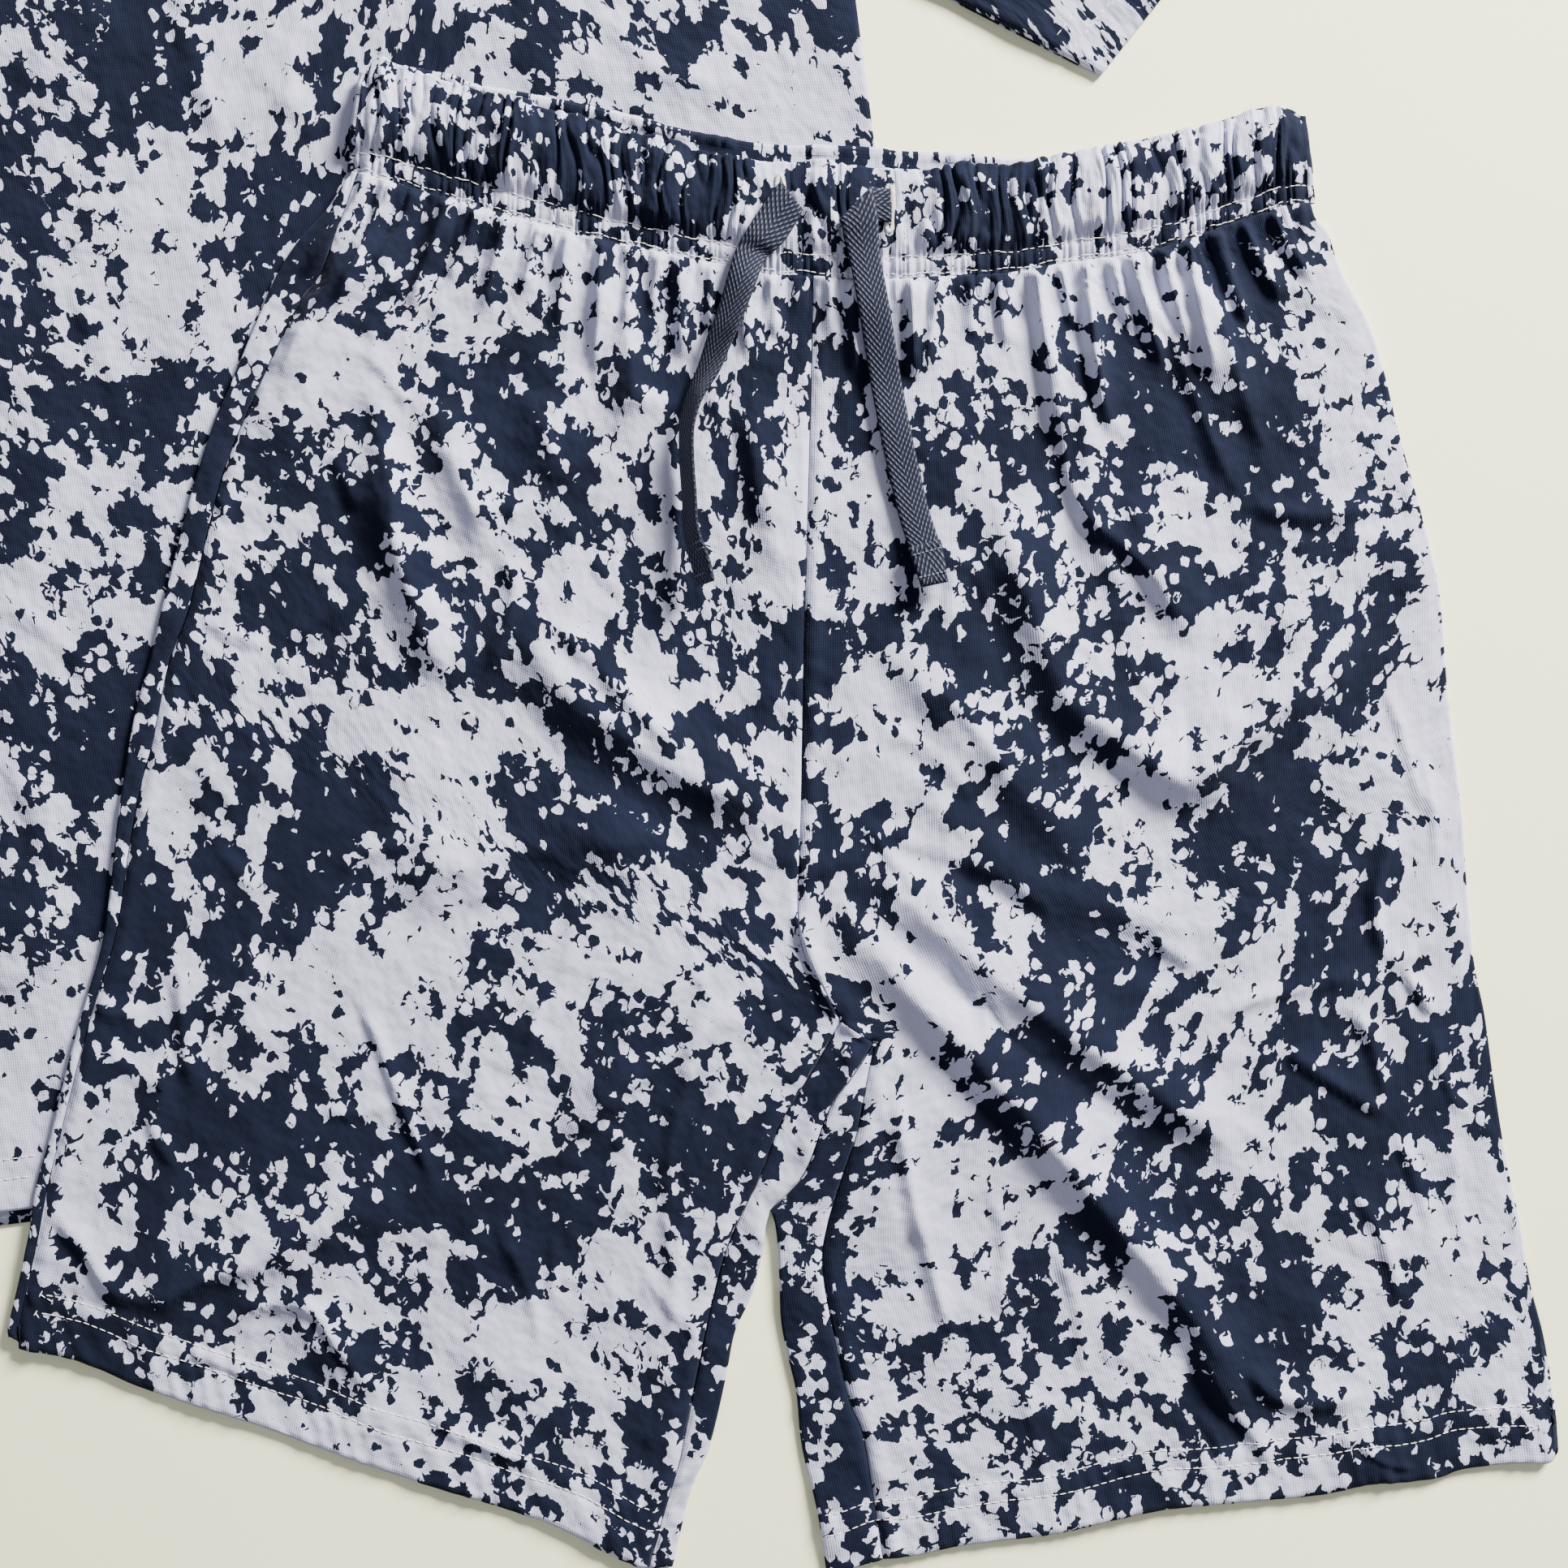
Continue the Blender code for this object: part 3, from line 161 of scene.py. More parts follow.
# Folds: half width, height, crest points. First the largest of the shorts
FOLDS = (
    (9, 4.5, ((22.5, -20), (51.5, -48.5), (83.5, -74), (129, -106.5), (158, -125.5))),
    (9, 5, ((11.5, -30.5), (38.5, -64.5), (77.5, -106.5), (112.5, -148), (138.5, -180.5), (151.5, -199.5),
            (174, -208.5))),
    (10, 5.5, ((64.5, 106.5), (80.5, 58), (92, 29), (112.5, 13), (130.5, 1.5), (148, 14.5), (174, 35.5),
               (196.5, 58))),
    (7.5, 2.5, ((90, 158), (96.5, 122.5), (103, 83.5), (116, 51.5))),
    (9, 3, ((129, 170.5), (140, 145), (149.5, 112.5))), (8, 2.5, ((112.5, 96.5), (125.5, 64.5), (137, 45))),
    (9, 3, ((30.5, 51.5), (51.5, 22.5), (77.5, -3), (103, -29))),
    (9, 2, ((32, 6.5), (64.5, -19.5), (106.5, -42), (151.5, -48.5))),
    (9, 4, ((-137, 119), (-127, 77.5), (-116, 48.5), (-106.5, 29))),
    (8, 2.5, ((-114.5, 129), (-106.5, 96.5), (-92, 74))),
    (12, 4.5, ((-83.5, 64.5), (-75.5, 35.5), (-51.5, 16), (-26, 0), (0, -8))),
    (7.5, 2, ((-82, 129), (-75.5, 96.5))), (8, 2.5, ((-59.5, 167.5), (-53, 138.5), (-48.5, 112.5))),
    (7.5, 2.5, ((-11.5, 129), (-6.5, 103), (-1.5, 64.5))),
    (9, 3, ((0, -34), (-26, -59.5), (-51.5, -88.5), (-74, -119))), (7.5, 2, ((-3, -48.5), (-32, -100))),
    (11, 2.5, ((-135, -34), (-90, -23), (-35.5, -13.5))),
    (8, 2.5, ((-215.5, -170.5), (-177, -156), (-122.5, -132))),
    (7.5, 2, ((-161, -170.5), (-145, -190), (-129, -199.5))),
    (7.5, 2.5, ((-129, 180.5), (-151.5, 148), (-170.5, 106.5))),
)
# Largest folds of the top
TOP_FOLDS = (
    (12, 3, ((-360, -90), (-290, -62), (-230, -35))), (15, 3.5, ((-430, 120), (-330, 150), (-230, 130))),
    (14, 3, ((-320, 330), (-230, 300), (-150, 290))), (12, 3, ((-90, 390), (-50, 320), (-10, 260))),
    (14, 3, ((-390, 300), (-370, 220), (-330, 80))),
)
# Cross lines of the drawcord's two ends at their buttonholes: centre x and y, half width x and y, layer
HEAD_LEFT = (
    (-1.3, 190, 0, -4.9, 0), (0.2, 190.1, 1.2, -4.9, 0), (1.6, 190.2, 2.7, -4.8, 0.1),
    (2.3, 190.2, 3.5, -4.75, 0.5), (2.1, 189.7, 3.7, -4.6, 1), (0.6, 187.5, 4.6, -3.9, 1),
    (-1.8, 183.8, 5.2, -3.2, 1), (-4.7, 179.2, 5.2, -3.2, 1), (-7.7, 175.3, 4.9, -2.7, 1),
)
HEAD_RIGHT = (
    (34.6, 187.4, 0, -5.3, 0), (31, 187.4, -1.5, -5.4, 0), (27, 187.5, -3.4, -5.5, 0),
    (23.7, 187.6, -5, -5.5, 0.1), (23.2, 187.4, -5.1, -5.5, 0.5), (23.4, 186.9, -5.2, -5.2, 1),
    (24.1, 184, -5.5, -3.6, 1), (24.7, 181, -5.7, -2, 1), (25, 177.5, -5.7, -0.8, 1),
)
# Centre lines of the rest, down to the free ends: x, y, tilt in degrees
TAPE_LEFT = (
    (-10.6, 171.8, 0), (-13.9, 161.8, 20), (-17.3, 151.8, 32), (-21.1, 142.9, 36), (-24.5, 134, 44),
    (-28.9, 125.1, 57), (-31.4, 115.2, 63), (-31.4, 104, 64), (-30.6, 92.9, 64), (-30, 81.8, 61),
    (-26.7, 70.7, 54), (-25.6, 65.5, 48),
)
TAPE_RIGHT = (
    (26.2, 170, 0), (29.1, 154.1, 0), (31, 143, 0), (32.9, 131.8, 0), (35, 120.7, 0), (37.2, 109.6, 0),
    (39.7, 98.5, 0), (42.4, 87.4, 0), (45.2, 78.5, 0), (47.4, 70.5, 0), (48.5, 65.5, 0),
)
# Gathers below the waistband: x at the band, lean to the right, length, half width, height
GATHERS = (
    (-134, -24, 34, 2.6, 1.3), (-127, -20, 42, 3, 1.6), (-119, -16, 30, 2.6, 1.2), (-109, -14, 38, 3.2, 1.5),
    (-99, -12, 26, 2.4, 1), (-90, -9, 34, 3, 1.4), (-79, -7, 24, 2.6, 1.2), (-70, -4, 34, 3, 1.2),
    (-59, -3, 44, 3.2, 1.7), (-50, -1, 28, 2.4, 1.2), (-41, -2, 22, 2.4, 1), (-34, 1, 36, 3, 1.5),
    (-24, 0, 24, 2.4, 1.1), (-13, 1, 30, 2.8, 1.3), (-4, 1, 22, 2.4, 1), (15, 1, 24, 2.4, 1),
    (22, 2, 34, 2.8, 1.3), (41, 2, 36, 2.6, 1.5), (50, -4, 30, 2.6, 1.4), (60, 1, 22, 2.4, 1),
    (70, 3, 26, 2.6, 1.2), (82, 8, 60, 2.8, 1.9), (90, 6, 24, 2.4, 1), (98, 6, 52, 2.8, 1.9),
    (106, 9, 26, 2.4, 1.2), (113, 12, 40, 3, 1.8), (123, 10, 34, 3, 1.5), (131, 10, 48, 3.2, 1.8),
    (140, 13, 34, 2.8, 1.5), (149, 15, 28, 2.8, 1.3), (158, 16, 24, 2.6, 1.1),
)
# Small creases of the shorts
CREASES = (
    (2, 1.9, ((3, -38), (6, -50), (10.5, -62), (15.5, -73), (19, -79))),
    (4.6, 1.6, ((23, -80), (20.5, -96), (12.5, -112), (4, -128))),
    (2, 1.2, ((17, -77), (23, -80), (28, -84))),
    (3.5, 1.8, ((-130, 190), (-140, 175), (-155, 150), (-165, 130))),
    (3, 1.4, ((-118, 190), (-140, 160), (-155, 135), (-160, 125))),
    (3, 1.2, ((-105, 185), (-125, 165), (-135, 160))), (3, 1.1, ((-85, 175), (-100, 165), (-118, 150))),
    (4.5, 1.5, ((-137, 135), (-132, 115), (-127, 95), (-125, 75), (-115, 50))),
    (3, 1.1, ((-148, 110), (-138, 88))), (4, 1.4, ((-110, 112), (-103, 95), (-98, 82))),
    (4, 1.6, ((-92, 78), (-88, 60), (-98, 32))), (3, 1, ((-78, 120), (-75, 105))),
    (4.5, 1.8, ((-78, 55), (-60, 38), (-45, 22), (-30, 8))), (3.5, 1.2, ((-52, 160), (-50, 140), (-48, 120))),
    (3.5, 1, ((-12, 120), (-8, 85))), (3, 0.8, ((-165, 45), (-140, 60), (-128, 68))),
    (2.4, 0.9, ((-192, 55), (-180, 48), (-168, 45))), (2.2, 0.8, ((-185, 95), (-180, 85))),
    (2.4, 1, ((-100, 85), (-92, 90), (-85, 85))), (2.6, 1.1, ((43, 165), (44, 150), (40, 132))),
    (2.6, 1, ((53, 165), (50, 150), (45, 133))),
    (3, 1.7, ((83, 160), (88, 140), (90, 125), (92, 105), (98, 88), (110, 78), (122, 65), (130, 46))),
    (3, 1.5, ((98, 166), (100, 148), (103, 130), (108, 112))),
    (3.5, 1.6, ((113, 172), (117, 158), (126, 148), (133, 130), (140, 112), (150, 92))),
    (3.5, 1.3, ((136, 165), (146, 140), (152, 120), (160, 106))),
    (3.5, 1.4, ((150, 92), (165, 88), (180, 88), (196, 92))), (4, 1.2, ((30, 20), (50, 8), (64, -8))),
    (3.5, 1.1, ((48, 34), (62, 18), (76, 0))), (3, 1.6, ((200, -10), (193, -38), (197, -60))),
    (2, 0.9, ((196, 34), (204, 10), (210, -12))), (2, 0.8, ((207, 15), (212, -8), (214, -30))),
    (2.6, 1.1, ((120, -50), (128, -56), (136, -60))),
    (2.8, 1.3, ((139, -77), (150, -72), (165, -68), (190, -62))),
    (2.6, 1.4, ((161, -85), (172, -93), (185, -101), (200, -110))),
    (2.6, 1.2, ((184, -72), (191, -82), (195, -95), (197, -106))),
    (2, 1.3, ((202, -60), (207, -68), (213, -76))), (2.2, 0.9, ((200, -114), (206, -128), (212, -146))),
    (2.6, 1, ((197, -62), (210, -52), (222, -40))), (2.2, 0.9, ((184, -128), (196, -150), (202, -172))),
    (3.2, 1.5, ((35, -94), (38, -112), (42, -135), (50, -165), (56, -186))),
    (3.2, 1.6, ((132, -180), (146, -204), (154, -214), (160, -228))),
    (3, 1.8, ((150, -188), (160, -200), (176, -203), (190, -199))),
    (4, 1.2, ((24, -14), (45, -20), (70, -30), (95, -48))),
    (3.5, 1.3, ((-74, -119), (-52, -100), (-30, -84), (-14, -68))),
    (3.2, 1.2, ((-60, -125), (-42, -104), (-24, -86))), (3, 1, ((-36, -128), (-26, -108), (-14, -84))),
    (2.2, 1.4, ((-142, -66), (-134, -80), (-127, -98), (-119, -118), (-112, -135))),
    (2.4, 1, ((-152, -106), (-140, -108), (-128, -104))),
    (3.4, 1.3, ((-197, -58), (-196, -80), (-192, -102))), (2.4, 1.2, ((-226, -70), (-218, -76), (-208, -73))),
    (2.4, 1.2, ((-214, -96), (-202, -99), (-206, -112), (-196, -128))),
    (3, 1.5, ((-240, -138), (-228, -152), (-218, -166), (-206, -169))),
    (2.8, 1.4, ((-210, -172), (-196, -166), (-184, -160), (-168, -157))),
    (2.6, 1.7, ((-184, -175), (-168, -170), (-154, -172), (-145, -184), (-134, -198))),
    (3, 0.9, ((-150, -30), (-130, -21), (-108, -16))), (2.6, 0.9, ((-104, -40), (-92, -34), (-84, -30))),
    (3.4, 1.2, ((-120, -205), (-104, -214), (-84, -222))),
    (3, 1, ((-24, -60), (-30, -90), (-36, -112), (-38, -140), (-37, -176))),
    (3, 0.9, ((-25, -120), (-33, -141), (-35, -159), (-37, -185))),
    (3, 0.9, ((-96, -140), (-84, -164), (-80, -186))), (2.6, 0.8, ((88, -150), (96, -172), (98, -196))),
    (2.6, 0.8, ((66, -130), (72, -150), (70, -176))),
)
# Small creases of the top
TOP_CREASES = (
    (4, 1.6, ((-258, -68), (-242, -58), (-225, -52))), (3.5, 1.3, ((-252, -96), (-238, -92), (-224, -90))),
    (4, 1.5, ((-248, 229), (-236, 242), (-219, 252))), (3.5, 1.4, ((-200, 258), (-194, 236), (-184, 209))),
    (2.6, 1.2, ((-176, 236), (-163, 224), (-148, 206))), (2.4, 1, ((-164, 246), (-162, 226), (-170, 206))),
    (2.4, 1, ((-150, 228), (-160, 222), (-176, 220))), (3.5, 1.1, ((-236, 160), (-222, 140), (-214, 112))),
    (3, 1, ((-256, 60), (-240, 48), (-222, 30))), (3.5, 1.2, ((-60, 250), (-40, 232), (-20, 224))),
    (3, 1, ((-100, 256), (-92, 240), (-90, 226))), (5, 1.6, ((-256, 10), (-244, -10), (-240, -34))),
)
# Folds of the sleeves
SLEEVE_FOLDS = (
    (9, 2.2, ((90, 270), (115, 282), (145, 279))), (10, 2.5, ((50, 330), (85, 335), (120, 330))),
    (10, 2.5, ((-560, 170), (-530, 190), (-490, 210))), (9, 2, ((-540, 110), (-510, 140), (-470, 160))),
)


class Side(Enum):
    """Side of the garment, as the viewer sees it."""

    LEFT = -1
    RIGHT = 1

    @property
    def word(self) -> str:
        """The side in a piece's name."""
        return self.name.lower()


class Turn(Enum):
    """How a stitch lies on its row."""

    ALONG = 0.0
    ACROSS = 0.5 * math.pi


def ease(low: float, high: float, value: Array) -> Array:
    """Ease from 0 at low to 1 at high.

    Args:
        low: value that gives 0.
        high: value that gives 1.
        value: numbers to ease.

    Returns:
        Eased shares.
    """
    share = np.clip((np.asarray(value, float) - low) / (high - low), 0.0, 1.0)
    return share * share * (3.0 - 2.0 * share)


def smooth_line(points: Table, steps: int = 10) -> Array:
    """Sample a smooth curve that passes through the points.

    Args:
        points: plan points, with or without further values.
        steps: samples between two points.

    Returns:
        The samples, one row each.
    """
    given = np.asarray(points, float)
    ends = np.vstack([2.0 * given[0] - given[1], given, 2.0 * given[-1] - given[-2]])
    t = np.linspace(0.0, 1.0, steps, endpoint=False)[:, None]
    parts = []
    for before, start, end, after in zip(ends[:-3], ends[1:-2], ends[2:-1], ends[3:]):
        parts.append(0.5 * (2 * start + (end - before) * t
                            + (2 * before - 5 * start + 4 * end - after) * t * t
                            + (3 * start - before - 3 * end + after) * t ** 3))
    return np.vstack([*parts, given[-1:]])


def at_shares(line: Array, shares: Array) -> Array:
    """Points at shares of a line's plan length.

    Args:
        line: polyline.
        shares: shares from 0 to 1.

    Returns:
        One point for each share.
    """
    line = np.asarray(line, float)
    run = run_lengths(line[:, :2])
    run /= run[-1]
    return np.column_stack([np.interp(shares, run, column) for column in line.T])


def left_normals(line: Array) -> Array:
    """Unit normals to the left of travel.

    Args:
        line: plan polyline.

    Returns:
        One normal for each point.
    """
    run = np.gradient(line[:, :2], axis=0)
    length = np.maximum(np.linalg.norm(run, axis=1, keepdims=True), 1e-9)
    return np.column_stack([-run[:, 1], run[:, 0]]) / length


def moved(line: Array, distance: float) -> Array:
    """Move a plan polyline sideways; positive is to the left of travel."""
    return line[:, :2] + left_normals(line) * distance


def nearest(x: Array, y: Array, line: Array) -> tuple[Array, Array, Array, Array]:
    """Nearest place on a polyline for each plan point.

    Args:
        x: plan x of the points.
        y: plan y of the points.
        line: plan polyline.

    Returns:
        Distance, share of the line's length, and the offset from the line as x and y.
    """
    best = np.full(np.shape(x), 1e9)
    share, off_x, off_y = np.zeros(np.shape(x)), np.zeros(np.shape(x)), np.zeros(np.shape(x))
    run = 0.0
    for (ax, ay), (bx, by) in zip(line[:-1, :2], line[1:, :2]):
        dx, dy = bx - ax, by - ay
        length = max(math.hypot(dx, dy), 1e-9)
        t = np.clip(((x - ax) * dx + (y - ay) * dy) / (length * length), 0.0, 1.0)
        gx, gy = x - ax - dx * t, y - ay - dy * t
        gap = np.hypot(gx, gy)
        closer = gap < best
        best = np.where(closer, gap, best)
        share = np.where(closer, run + t * length, share)
        off_x, off_y = np.where(closer, gx, off_x), np.where(closer, gy, off_y)
        run += length
    return best, share / run, off_x, off_y


def fold_heights(x: Array, y: Array, folds: Sequence[tuple[Table, float, float]],
                 crest_power: float = 2.0) -> Array:
    """Height of soft folds: a rounded crest, steeper on the side away from the light.

    Args:
        x: plan x of the points.
        y: plan y of the points.
        folds: (crest points, half width, height) of each fold.
        crest_power: 2 for a round crest, less for a pressed one.

    Returns:
        Height at each point.
    """
    total = np.zeros(np.shape(x))
    for crest, half_width, height in folds:
        line = smooth_line(crest, 6)
        reach = 3.2 * half_width
        low, high = line.min(axis=0) - reach, line.max(axis=0) + reach
        near = (x > low[0]) & (x < high[0]) & (y > low[1]) & (y < high[1])
        if not near.any():
            continue
        gap, share, off_x, off_y = nearest(x[near], y[near], line)
        lit = (off_x * LIGHT_SIDE[0] + off_y * LIGHT_SIDE[1]) / np.maximum(gap, 1e-6)
        place = gap / (half_width * (0.95 + 0.30 * lit))
        trough = 0.20 * np.clip(-lit, 0.0, 1.0) * bell(place - 2.0, 0.75)
        ends = ease(0.0, 0.22, share) * ease(0.0, 0.22, 1.0 - share)
        total[near] += height * ends * (np.exp(-place ** crest_power) - trough)
    return total


def crumples(count: int, low: tuple[float, float], high: tuple[float, float], seed: int
             ) -> list[tuple[Array, float, float]]:
    """Short pressed creases that lie at random over a rectangle, as cloth has from its packing.

    Args:
        count: how many.
        low: lower left corner.
        high: upper right corner.
        seed: seed of the draws.

    Returns:
        (crest points, half width, height) of each crease.
    """
    draw = np.random.default_rng(seed)
    creases = []
    for _ in range(count):
        place, angle = draw.uniform(low, high), draw.uniform(0.0, math.pi)
        reach, bend = draw.uniform(0.006, 0.018), draw.normal(0.0, 0.14)
        along = reach * np.array((math.cos(angle), math.sin(angle)))
        aside = bend * np.array((-along[1], along[0]))
        creases.append((np.array((place - along, place + aside, place + along)),
                        draw.uniform(0.0014, 0.0026), draw.uniform(0.0005, 0.0011)))
    return creases


def slack(x: Array, y: Array, wavelength: float, depth: float, seed: int) -> Array:
    """Gentle unevenness of cloth that lies slack, as a sum of a few slanting waves.

    Args:
        x: plan x of the points.
        y: plan y of the points.
        wavelength: middle wavelength in metres.
        depth: height of the unevenness.
        seed: fixed seed of the waves.

    Returns:
        Height at each point.
    """
    chance = np.random.default_rng(seed)
    total = np.zeros(np.shape(x))
    for _ in range(9):
        angle, phase = chance.uniform(0.0, math.pi), chance.uniform(0.0, 2.0 * math.pi)
        wave = 2.0 * math.pi / (wavelength * chance.uniform(0.6, 1.6))
        total += np.sin((x * math.cos(angle) + y * math.sin(angle)) * wave + phase)
    return depth * total / 3.0


def inside(x: Array, y: Array, outline: Array) -> Array:
    """Tell which plan points lie inside a closed outline.

    Args:
        x: plan x of the points.
        y: plan y of the points.
        outline: corner points of the outline.

    Returns:
        True for each point inside.
    """
    result = np.zeros(np.shape(x), bool)
    for (ax, ay), (bx, by) in zip(outline, np.roll(outline, -1, axis=0)):
        if ay == by:
            continue
        crosses = ((ay > y) != (by > y)) & (x < (bx - ax) * (y - ay) / (by - ay) + ax)
        result ^= crosses
    return result


def span(left: Array, right: Array, top: Array, bottom: Array, down: Array, across: Array) -> Array:
    """Fill the plan between four edges.

    Args:
        left: left edge, one point for each row.
        right: right edge, one point for each row.
        top: top edge, one point for each column.
        bottom: bottom edge, one point for each column.
        down: share of each row, 0 at the top.
        across: share of each column, 0 at the left.

    Returns:
        Plan points, rows by columns by 2.
    """
    s, t = across[None, :, None], down[:, None, None]
    grid = (1 - s) * left[:, None] + s * right[:, None] + (1 - t) * top[None] + t * bottom[None]
    grid -= (1 - s) * (1 - t) * top[0] + s * (1 - t) * top[-1]
    grid -= (1 - s) * t * bottom[0] + s * t * bottom[-1]
    return grid


def raised(plan: Array, height: Array) -> Array:
    """Put heights on plan points."""
    return np.concatenate([plan, np.asarray(height)[..., None]], axis=-1)


def cut_lengths(grid: Array, least_width: float) -> Array:
    """Lay a panel flat as it was cut, in metres: across its rows and down its middle.

    Args:
        grid: plan points, rows by columns by 2.
        least_width: the cut's least width, where the cloth is gathered to less.

    Returns:
        Flat coordinates, rows by columns by 2.
    """
    run = run_lengths(grid, 1)
    width = np.maximum(run[:, -1:], 1e-6)
    flat_u = (run / width - 0.5) * np.maximum(width, least_width)
    return flat_grid(flat_u, -run_lengths(grid[:, grid.shape[1] // 2]))


def run_lengths(points: Array, axis: int = 0) -> Array:
    """Length run up to each point of a polyline, or of every row of a grid.

    Args:
        points: points, x and y or x, y and z last.
        axis: axis to run along.

    Returns:
        Lengths, from 0.
    """
    steps = np.linalg.norm(np.diff(points, axis=axis), axis=-1)
    return np.concatenate([np.zeros_like(steps.take([0], axis)), np.cumsum(steps, axis=axis)], axis=axis)


def between(line: Array, share: Array) -> Array:
    """Plan points at shares of a line's evenly numbered samples."""
    where = np.linspace(0.0, 1.0, len(line))
    return np.stack([np.interp(share, where, line[:, k]) for k in (0, 1)], axis=-1)


def flat_grid(across: Array, down: Array) -> Array:
    """Flat coordinates of a grid from those of its columns and of its rows."""
    return np.stack(np.broadcast_arrays(across, np.asarray(down)[:, None]), axis=-1)


def bell(value: Array, reach: float) -> Array:
    """Smooth bell of height 1 round 0."""
    return np.exp(-(value / reach) ** 2)


def folds_of(table: Sequence[tuple[float, float, Table]]) -> list[tuple[Array, float, float]]:
    """Folds of a millimetre table as (crest points, half width, height) in metres."""
    return [(MM * np.array(crest), MM * width, MM * height) for width, height, crest in table]


def linear(code: str) -> tuple[float, float, float, float]:
    """Turn an sRGB hex colour into linear values.

    Args:
        code: six hex digits with or without a hash.

    Returns:
        Linear red, green, blue and alpha.
    """
    parts = [int(code.lstrip("#")[i: i + 2], 16) / 255.0 for i in (0, 2, 4)]
    values = [p / 12.92 if p <= 0.04045 else ((p + 0.055) / 1.055) ** 2.4 for p in parts]
    return (values[0], values[1], values[2], 1.0)


def add_node(tree: bpy.types.NodeTree, kind: str, settings: dict[str, Any] | None = None,
             links: dict[Any, Any] | None = None) -> bpy.types.Node:
    """Add one node with its settings and the links into it.

    Args:
        tree: node tree that gets the node.
        kind: identifier of the node's type.
        settings: properties by name, and socket values by name or place.
        links: what feeds an input, by its name or place: an output socket, or else a plain value.

    Returns:
        The new node.
    """
    node = tree.nodes.new(kind)
    for key, value in (settings or {}).items():
        if isinstance(key, str) and key in node.bl_rna.properties:
            setattr(node, key, value)
    for key, value in (settings or {}).items():
        if not (isinstance(key, str) and key in node.bl_rna.properties):
            node.inputs[key].default_value = value
    for key, value in (links or {}).items():
        if isinstance(value, Socket):
            tree.links.new(value, node.inputs[key])
        elif value is not None:
            node.inputs[key].default_value = value
    return node


class Bench:
    """One new material with a principled shader, and short forms of the nodes that finishes use."""

    def __init__(self, name: str, colour: str, roughness: float, **extra: Any) -> None:
        """Make the material.

        Args:
            name: name of the material.
            colour: plain colour as sRGB hex.
            roughness: roughness of the surface.
            extra: further sockets of the shader, with underscores for spaces.
        """
        self.material = bpy.data.materials.new(name)
        self.material.use_nodes = True
        self.tree = self.material.node_tree
        self.shader = self.tree.nodes["Principled BSDF"]
        for key, value in {"Base Color": linear(colour), "Roughness": roughness, **extra}.items():
            self.shader.inputs[key.replace("_", " ")].default_value = value

    def cut(self) -> Socket:
        """Flat coordinates of the cut, in metres."""
        return add_node(self.tree, "ShaderNodeUVMap", {"uv_map": "cut"}).outputs["UV"]

    def place(self) -> Socket:
        """Coordinates of the object itself."""
        return add_node(self.tree, "ShaderNodeTexCoord").outputs["Object"]

    def noise(self, place: Socket, scale: float, detail: float, result: str = "Fac", **extra: Any) -> Socket:
        """Noise at a place; extra holds further settings of the node, underscores for spaces."""
        return add_node(self.tree, "ShaderNodeTexNoise", {"Scale": scale, "Detail": detail, **extra},
                        {"Vector": place}).outputs[result]

    def cells(self, place: Socket, size: float, randomness: float) -> bpy.types.Node:
        """Random cells of a size in metres."""
        return add_node(self.tree, "ShaderNodeTexVoronoi",
                        {"voronoi_dimensions": "2D", "Scale": 1.0 / size, "Randomness": randomness},
                        {"Vector": place})

    def waves(self, place: Socket, size: float, distortion: float, axis: str = "X",
              detail: tuple[float, float] = (2.0, 1.0)) -> Socket:
        """Straight waves of a wavelength in metres.

        Args:
            place: coordinates.
            size: wavelength.
            distortion: how much the waves waver.
            axis: direction that they run across.
            detail: detail of the wavering, and its scale.

        Returns:
            Height of the waves.
        """
        return add_node(self.tree, "ShaderNodeTexWave",
                        {"bands_direction": axis, "Scale": 0.314 / size, "Distortion": distortion,
                         "Detail": detail[0], "Detail Scale": detail[1]}, {"Vector": place}).outputs["Fac"]

    def calc(self, operation: str, first: Socket, second: Any, third: Any = None) -> Socket:
        """One sum of sockets and numbers.

        Args:
            operation: name of the operation.
            first: first value.
            second: second value, a socket or a number.
            third: third value, if the operation has one.

        Returns:
            The result.
        """
        return add_node(self.tree, "ShaderNodeMath", {"operation": operation},
                        {0: first, 1: second, 2: third}).outputs[0]

    def vectors(self, operation: str, first: Socket, second: tuple[float, float, float],
                third: Socket | None = None) -> Socket:
        """One sum of vectors."""
        return add_node(self.tree, "ShaderNodeVectorMath", {"operation": operation},
                        {0: first, 1: second, 2: third}).outputs[0]

    def ramp(self, value: Socket, low: float, high: float, **extra: Any) -> Socket:
        """Share of a value between two levels; extra holds further settings of the node."""
        return add_node(self.tree, "ShaderNodeMapRange", {"From Min": low, "From Max": high, **extra},
                        {"Value": value}).outputs["Result"]

    def blend(self, share: Socket, first: Any, second: Any) -> Socket:
        """Blend of two colours, which are sockets or linear values."""
        return add_node(self.tree, "ShaderNodeMix", {"data_type": "RGBA"},
                        {0: share, 6: first, 7: second}).outputs[2]

    def bump(self, height: Socket, strength: float, distance: float, **below: Socket) -> Socket:
        """Normal of a fine relief; below may hold the Normal that it lies on."""
        return add_node(self.tree, "ShaderNodeBump", {"Strength": strength, "Distance": distance},
                        {"Height": height, **below}).outputs["Normal"]

    def finish(self, colour: Socket, normal: Socket | None = None) -> bpy.types.Material:
        """Link the colour and the normal to the shader and give the material."""
        self.tree.links.new(colour, self.shader.inputs["Base Color"])
        if normal:
            self.tree.links.new(normal, self.shader.inputs["Normal"])
        return self.material


